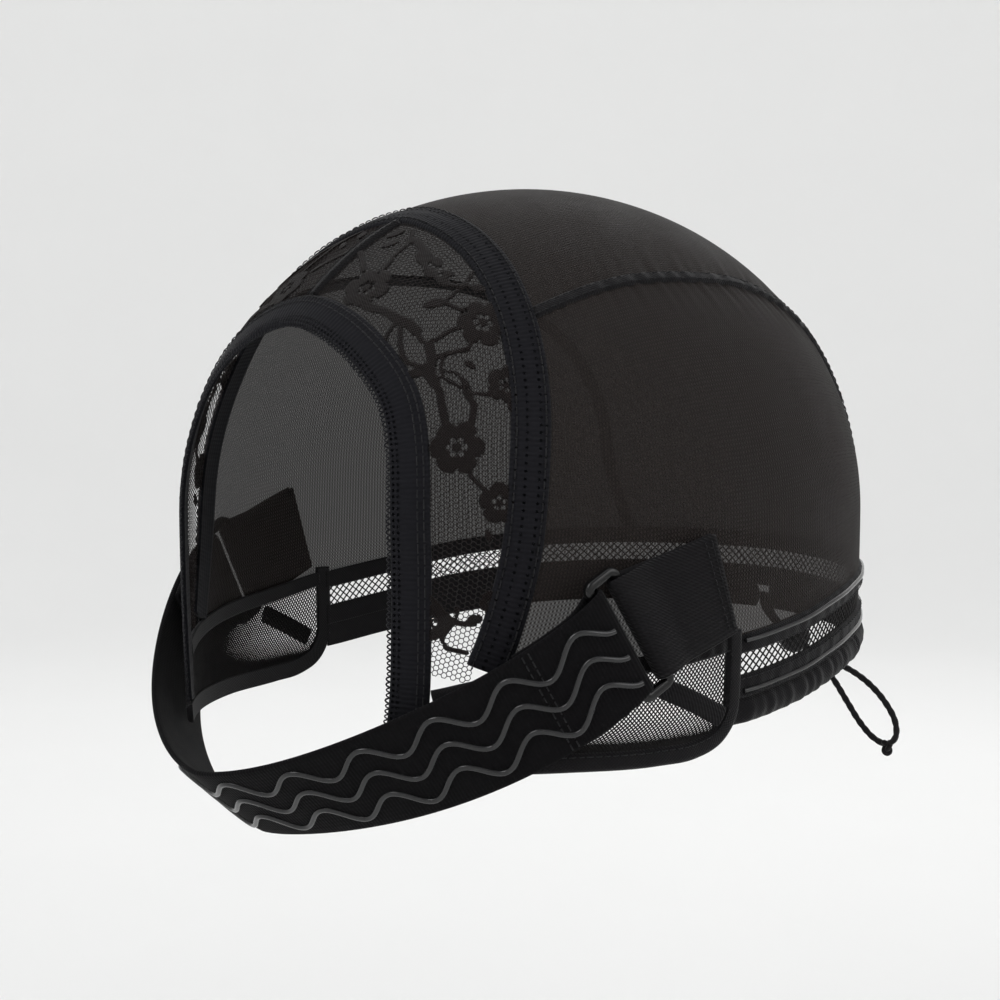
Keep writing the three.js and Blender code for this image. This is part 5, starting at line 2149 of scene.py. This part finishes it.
    def build(self) -> None:
        """Builds the strap, its waves and both rings and tabs."""
        strap = self._ribbon("grip_elastic", self._stations())
        self.shop.keep(strap, STRAP_ELASTIC, "grip_strap")
        self._waves()
        self._strap_stitches()
        for side in Side:
            self._ring(side)
            self._tab(side)

    def _waves(self) -> None:
        """Three silicone waves along the strap's outer face."""
        distance = np.arange(0.6, self.length - 0.6, 0.75)
        frames = self.frames(distance / self.length)
        for number, offset in enumerate((-self.wave_spacing, 0.0, self.wave_spacing), start=1):
            swing = self.wave_height / 2 * np.cos(2 * np.pi * distance / self.wave_length)
            seat = self.strap_wall / 2 + 0.05
            line = frames.middle + frames.across * (offset + swing)[:, None] + frames.out * seat
            self.shop.silicone_line(f"silicone_wave_{number}", line, self.wave_radius, f"grip_wave_{number}")

    def _strap_stitches(self) -> None:
        """Bars of stitches that hold the folded ends, on both faces."""
        rows = []
        heights = np.linspace(1.5 - self.strap_width / 2, self.strap_width / 2 - 1.5, 24)
        for spot in (self.strap_fold - 2.0, self.strap_fold - 3.6):
            for share in (spot / self.length, 1 - spot / self.length):
                frame = self.frames(np.array([share]))
                seat = self.strap_wall / 2 + 0.1
                depth = self.strap_wall * 1.5 + self.pattern.gap + 0.1
                for height, sign in ((seat, 1.0), (-depth, -1.0)):
                    points = frame.middle + frame.out * height + heights[:, None] * frame.across
                    rows.append(Row(points, np.repeat(frame.out * sign, len(points), 0)))
        self.shop.stitches("strap_end_stitches", rows, "strap_elastic", 2.0, 1.5)

    def _ring(self, side: Side) -> None:
        """One rectangular ring, a bar of rounded square section bent into a frame.

        Args:
            side: the wearer's side that it is built on.
        """
        radius = self.ring_corner - self.ring_wire / 2
        x = self.ring_width / 2 - self.ring_corner
        y = self.ring_length / 2 - self.ring_corner
        line = []
        normals = []
        for cx, cy, first in ((x, y, 0), (-x, y, 90), (-x, -y, 180), (x, -y, 270)):
            for angle in np.radians(np.linspace(first, first + 90, 9)):
                way = np.array([math.cos(angle), math.sin(angle)])
                line.append(np.array([cx, cy]) + way * radius)
                normals.append(way)
        flat = np.array(line)
        ways = np.array(normals)
        lift = np.cross(self.ring_across, self.axis)
        middle = self.rear_bar + self.ring_across * self.bar_spacing / 2
        turns = np.linspace(0, 2 * np.pi, 20, endpoint=False)
        outward, upward = (
            np.sign(wave) * np.abs(wave) ** self.wire_softness * self.ring_wire / 2
            for wave in (np.cos(turns), np.sin(turns)))
        path = middle + flat[:, :1] * self.ring_across + flat[:, 1:] * self.axis
        way = ways[:, :1] * self.ring_across + ways[:, 1:] * self.axis
        grid = path[:, None] + way[:, None] * outward[None, :, None] + lift * upward[None, :, None]
        grid = side.turn(np.concatenate([grid, grid[:1]]))
        uv = uv_grid(run_length(grid[:, 0]), np.linspace(0, 2 * np.pi, len(turns) + 1))
        ring = grid_object(f"moulded_ring_{side.value}", grid, uv, wrap=True)
        weld_mesh(ring)
        self.shop.keep(ring, RING_PLASTIC, f"strap_ring_{side.value}")

    def _tab_layer(self, share: Array, seat: float, turn: float) -> tuple[Array, Array]:
        """Both edges of a tab's layer, seated on the head and straight beside the bar.

        Args:
            share: shares of the tab's length from the ring.
            seat: the layer's height above the head.
            turn: its height beside the bar.

        Returns:
            Points of the upper and of the lower edge.
        """
        edges = []
        for number, start in enumerate((-self.tab_width / 2, self.tab_width / 2)):
            reach = self.tab_length * self.tab_reach[number]
            shift = -self.forward * (share * reach)[:, None]
            shift = shift + self.axis * (start + share * self.tab_drift[number])[:, None]
            on_bar = self.rear_bar + shift + self.out * turn
            close = (1 - smoothstep(share * self.tab_length, 0, self.fold_ease))[:, None]
            edges.append(HEAD.seat(self.foot + shift, seat) * (1 - close) + on_bar * close)
        return edges[0], edges[1]

    def _tab(self, side: Side) -> None:
        """One tab: down the upper layer, round the rear bar and back under it.

        Args:
            side: the wearer's side that it is built on.
        """
        upper = self.tab_middle + self.tab_wall + self.pattern.gap
        share = np.linspace(1, 0, 30)
        top = self._tab_layer(share, upper, self.tab_turn)
        foot = self._tab_layer(share[::-1], self.tab_middle, -self.tab_turn)
        turns = np.pi * np.linspace(0, 1, 12)[1:-1]
        round_it = self.out * np.cos(turns)[:, None] + self.forward * np.sin(turns)[:, None]
        bend = [self.rear_bar + self.axis * sign * self.tab_width / 2 + round_it * self.tab_turn
                for sign in (-1.0, 1.0)]
        first = np.vstack([top[0], bend[0], foot[0]])
        second = np.vstack([top[1], bend[1], foot[1]])
        middle = (first + second) / 2
        across = unit(second - first)
        along = unit(np.gradient(middle, axis=0))
        out = unit(np.cross(across, along))
        if np.dot(out[0], self.out) < 0:
            out = -out
        half = self.tab_wall / 2
        strips = 12
        parts = np.linspace(0, 1, strips + 1)[None, :, None]
        lift = out[:, None] * half
        spread = first[:, None] * (1 - parts) + second[:, None] * parts
        seated = HEAD.seat(spread, 0.0)
        sag = np.einsum("ijk,ijk->ij", spread - seated, HEAD.normal(seated))
        level = (sag[:, :1] + sag[:, -1:]) / 2
        far = (1 - smoothstep(np.abs(np.linspace(-1, 1, len(middle))), 0.25, 0.5))[:, None]
        spread = spread + HEAD.normal(seated) * ((level - sag) * (1 - far))[..., None]
        edge_a = spread[:, :1] - across[:, None] * half * 0.9
        edge_b = spread[:, -1:] + across[:, None] * half * 0.9
        grid = np.concatenate([spread + lift, edge_b, (spread - lift)[:, ::-1], edge_a], axis=1)
        flat = np.linspace(0, self.tab_width, strips + 1)
        around = np.concatenate([flat, [self.tab_width + half], flat[::-1], [-half], [0.0]])
        uv = uv_grid(run_length(middle), around)
        tab = grid_object(f"ring_tab_{side.value}", side.turn(grid), uv, wrap=True, capped=True)
        self.shop.keep(tab, TAB_ELASTIC, f"strap_tab_{side.value}")
        rows = []
        for spot in (0.93, 0.86):
            layer = self._tab_layer(np.array([spot]), upper + half + 0.1, self.tab_turn + half)
            points = HEAD.seat(layer[0] + (layer[1] - layer[0]) * np.linspace(0.05, 0.95, 20)[:, None],
                               upper + half + 0.08)
            rows.append(Row(side.turn(points), side.turn(HEAD.normal(points))))
        self.shop.stitches(f"tab_stitches_{side.value}", rows, "strap_elastic", 2.0, 1.5)


def weld_mesh(piece: Piece, reach: float = 0.001) -> None:
    """Merges doubled points of a piece that closes on itself and turns its faces outwards.

    Args:
        piece: the piece.
        reach: millimetres within which points merge.
    """
    work = bmesh.new()
    work.from_mesh(piece.data)
    bmesh.ops.remove_doubles(work, verts=work.verts, dist=reach * MM)
    bmesh.ops.recalc_face_normals(work, faces=work.faces)
    work.to_mesh(piece.data)
    work.free()


CORD_ROUTE = [
    [-1.05, 90.1, -109.2], [-1.05, 90.6, -112.6], [-0.3, 93.1, -116.6], [1.61, 95.4, -119.04],
    [3.66, 98.13, -122], [5.71, 100.86, -124.96], [9.6, 103, -129.2], [14.2, 104, -134.4],
    [18.2, 104.9, -140], [22, 105.8, -145.2], [26.2, 106.6, -149], [30.8, 107, -150.2],
    [34, 106.7, -147.6], [34.2, 106, -143], [31, 105, -137.6], [26, 104.1, -133.2],
    [20, 103.4, -130.2], [13.9, 102.8, -128.6], [9.9, 101.6, -127.2], [7.39, 99.6, -124.96],
    [5.34, 96.87, -122], [3.29, 94.14, -119.04], [1.8, 92.3, -116.4], [1.05, 90.6, -112.6],
    [1.05, 90.1, -109.2]]


@dataclass
class DrawCord:
    """The free loop of the draw cord, its bead and its knot."""

    shop: Workshop
    diameter: float = 1.8
    ply_pitch: float = 2.6
    bead_diameter: float = 9.0
    bead_bore: float = 4.6
    bead_centre: tuple[float, float, float] = (4.5, 97.5, -122.0)
    bead_axis: tuple[float, float, float] = (0.455, 0.606, -0.657)
    knot_width: float = 4.0
    knot_height: float = 5.2
    knot_drop: float = 0.8

    def build(self) -> None:
        bead = self._bead()
        knot = self._knot()
        path = SurfacePath(np.array(CORD_ROUTE))
        line = path.at(np.linspace(0, 1, 460))
        cord = tube_object("twisted_draw_cord", line, self._plies(self.diameter / 2, 0.16), 14)
        self.shop.keep(cord, CORD_CLOTH, "draw_cord")
        log.info("draw cord loop: %.1f mm", path.length)

    def _plies(self, radius: float, groove: float) -> Lift:
        """The cord's radius, with the grooves between its two twisted plies.

        Args:
            radius: the radius on top of a ply.
            groove: the depth of a groove, as a share of it.

        Returns:
            A function of the millimetres along and the angle round.
        """
        def reach(along: Array, turn: Array) -> Array:
            """The radius at spots of the cord."""
            wave = np.abs(np.cos(turn - np.pi * along / self.ply_pitch))
            return radius * (1 - groove + groove * wave)
        return reach

    def _bead(self) -> Piece:
        """The bead, a turned shape with a bore and softened rims.

        Returns:
            The bead.
        """
        radius = self.bead_diameter / 2
        bore = self.bead_bore / 2
        rim = math.asin(bore / radius)
        turns = np.linspace(rim + 0.06, math.pi - rim - 0.06, 30)
        shell = np.stack([radius * np.sin(turns), radius * np.cos(turns)], 1)
        top = shell[0]
        lip = [[bore + 0.06, top[1] + 0.02], [bore, top[1] - 0.3]]
        inner = np.linspace(top[1] - 1.2, 1.2 - top[1], 6)
        bore_wall = [[bore, height] for height in inner]
        foot = [[bore, 0.3 - top[1]], [bore + 0.06, -top[1] - 0.02]]
        profile = np.vstack([shell[::-1], lip, bore_wall, foot])
        axis = unit(np.array(self.bead_axis))
        side = unit(np.cross(axis, UP))
        other = np.cross(axis, side)
        angles = np.linspace(0, 2 * np.pi, 49)
        ring = np.cos(angles)[:, None] * side + np.sin(angles)[:, None] * other
        grid = (np.array(self.bead_centre) + ring[:, None] * profile[None, :, :1]
                + axis * profile[None, :, 1:])
        uv = uv_grid(angles * radius, np.arange(len(profile) + 1.0))
        bead = grid_object("turned_bead", grid, uv, wrap=True)
        weld_mesh(bead)
        return self.shop.keep(bead, BEAD_PLASTIC, "cord_bead")

    def _knot(self) -> Piece:
        """An overhand knot at the loop's lowest point.

        Returns:
            The knot.
        """
        low = min(CORD_ROUTE, key=itemgetter(2))
        turn = np.linspace(0, 2 * np.pi, 181)
        thick = 0.8
        x = (np.sin(turn) + 2 * np.sin(2 * turn)) / 3
        y = (np.cos(turn) - 2 * np.cos(2 * turn)) / 3
        z = -np.sin(3 * turn)
        reach = (self.knot_width / 2 - thick, self.knot_height / 2 - thick)
        line = np.stack([x * reach[0], z * 0.55, y * reach[1]], 1)
        line = line + np.array([low[0], low[1], low[2] - self.knot_drop])
        knot = tube_object("overhand_knot", line, self._plies(thick, 0.1), 12, closed=True)
        weld_mesh(knot)
        return self.shop.keep(knot, CORD_CLOTH, "cord_knot")


@dataclass
class Studio:
    """The pale floor and backdrop, the soft lights and the camera. Sizes are metres."""

    azimuth: float = 48.3
    pitch: float = 12.0
    distance: float = 0.58
    aim: tuple[float, float, float] = (0.0, 0.0, -0.1468)
    aim_pixel: tuple[float, float] = (272.7, 530.0)
    middle_pixel: tuple[float, float] = (256.0, 365.0)
    photo_focal: float = 1381.0
    enlargement: float = 1.62
    floor_level: float = -0.34
    floor_radius: float = 1.5
    sweep_radius: float = 1.1
    wall_top: float = 1.3
    wall_lights: int = 6

    def build(self) -> None:
        """Sets up the studio."""
        self._sweep()
        self._camera()
        self._lights()

    def _sweep(self) -> None:
        """A round floor that curves up into a wall on every side."""
        bend = np.linspace(0, math.pi / 2, 25)
        radius = self.floor_radius + self.sweep_radius * np.sin(bend)
        height = self.floor_level + self.sweep_radius * (1 - np.cos(bend))
        radius = np.concatenate([[0.01, 0.6], radius, [radius[-1]]])
        height = np.concatenate([[self.floor_level] * 2, height, [self.wall_top]])
        turn = np.linspace(0, 2 * math.pi, 97)[::-1, None]
        level = np.broadcast_to(height, (len(turn), len(height)))
        grid = np.stack([np.cos(turn) * radius, np.sin(turn) * radius, level], axis=-1) / MM
        sweep = grid_object("studio_sweep", grid, np.zeros(grid.shape[:2] + (2,)))
        sweep.data.materials.append(STUDIO_FLOOR.material())
        sweep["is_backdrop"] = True

    def _camera(self) -> None:
        """The camera, at the photo's viewpoint, turned to the middle of the cap."""
        turn = math.radians(self.azimuth)
        back = self._way(self.azimuth, self.pitch)
        right = Vector((math.cos(turn), math.sin(turn), 0.0))
        up = back.cross(right)
        eye = Vector(self.aim) + back * self.distance
        across = self.middle_pixel[0] - self.aim_pixel[0]
        drop = self.middle_pixel[1] - self.aim_pixel[1]
        look = (-back * self.photo_focal + right * across - up * drop).normalized()
        side = look.cross(Vector((0.0, 0.0, 1.0))).normalized()
        top = side.cross(look)
        data = bpy.data.cameras.new("photo_view")
        data.sensor_width = 36.0
        data.lens = 36.0 * self.photo_focal * self.enlargement / 1000
        data.clip_start = 0.01
        data.clip_end = 20.0
        camera = link("photo_view", data)
        camera.matrix_world = Matrix((
            (side.x, top.x, -look.x, eye.x), (side.y, top.y, -look.y, eye.y),
            (side.z, top.z, -look.z, eye.z), (0.0, 0.0, 0.0, 1.0)))
        bpy.context.scene.camera = camera

    def _lights(self) -> None:
        """Large soft lights on the cap, more on the wall behind it, and a pale world."""
        bpy.context.scene.view_settings.view_transform = "Standard"
        for name, azimuth, elevation, distance, size, power in (
            ("key_softbox", 5.0, 46.0, 1.1, 0.7, 4.6),
            ("side_softbox", 112.0, 28.0, 1.2, 0.8, 3.2),
            ("top_softbox", 60.0, 82.0, 1.2, 0.9, 1.0),
            ("rear_softbox", 215.0, 40.0, 1.3, 0.9, 3.4),
        ):
            way = self._way(azimuth, elevation)
            self._softbox(name, Vector((0.0, 0.0, -0.06)) + way * distance, -way, size, power)
        for number in range(self.wall_lights):
            azimuth = self.azimuth + 360.0 * number / self.wall_lights
            spot = self._way(azimuth, 0.0) * 0.7 + Vector((0.0, 0.0, 1.2))
            self._softbox(f"wall_softbox_{number}", spot, self._way(azimuth, -25.0), 0.9, 8.0)
        world = bpy.data.worlds.new("pale_room")
        bpy.context.scene.world = world
        world.use_nodes = True
        world.node_tree.nodes["Background"].inputs["Color"].default_value = linear("f4f5f7")
        world.node_tree.nodes["Background"].inputs["Strength"].default_value = 0.52

    def _way(self, azimuth: float, elevation: float) -> Vector:
        """The direction at an azimuth from the front and an elevation, in degrees.

        Args:
            azimuth: degrees round from the front.
            elevation: degrees above level.

        Returns:
            The direction, of length 1.
        """
        turn = math.radians(azimuth)
        rise = math.radians(elevation)
        return Vector((math.sin(turn) * math.cos(rise), -math.cos(turn) * math.cos(rise), math.sin(rise)))

    def _softbox(self, name: str, spot: Vector, way: Vector, size: float, power: float) -> None:
        """One round softbox.

        Args:
            name: the light's name.
            spot: where it stands.
            way: the direction in which it shines.
            size: its diameter.
            power: its power in watts.
        """
        light = bpy.data.lights.new(name, "AREA")
        light.shape = "DISK"
        light.size = size
        light.energy = power
        holder = link(name, light)
        holder.location = spot
        holder.rotation_euler = way.to_track_quat("-Z", "Y").to_euler()


def main() -> None:
    """Loads the frame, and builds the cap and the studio."""
    logging.basicConfig(level=logging.INFO, format="%(name)s: %(message)s")
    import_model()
    cad_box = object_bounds()
    Studio().build()
    shop = Workshop()
    DrawCord(shop).build()
    pattern = Pattern()
    LaceFront(pattern, shop).build()
    Panels(pattern, shop).build()
    EarTabs(pattern, shop).build()
    Nape(pattern, shop).build()
    GripStrap(pattern, shop).build()
    boxes = {"cad": cad_box, "visual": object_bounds()}
    {key: [list(map(float, corner)) for corner in box] for key, box in boxes.items()}


if __name__ == "__main__":
    main()
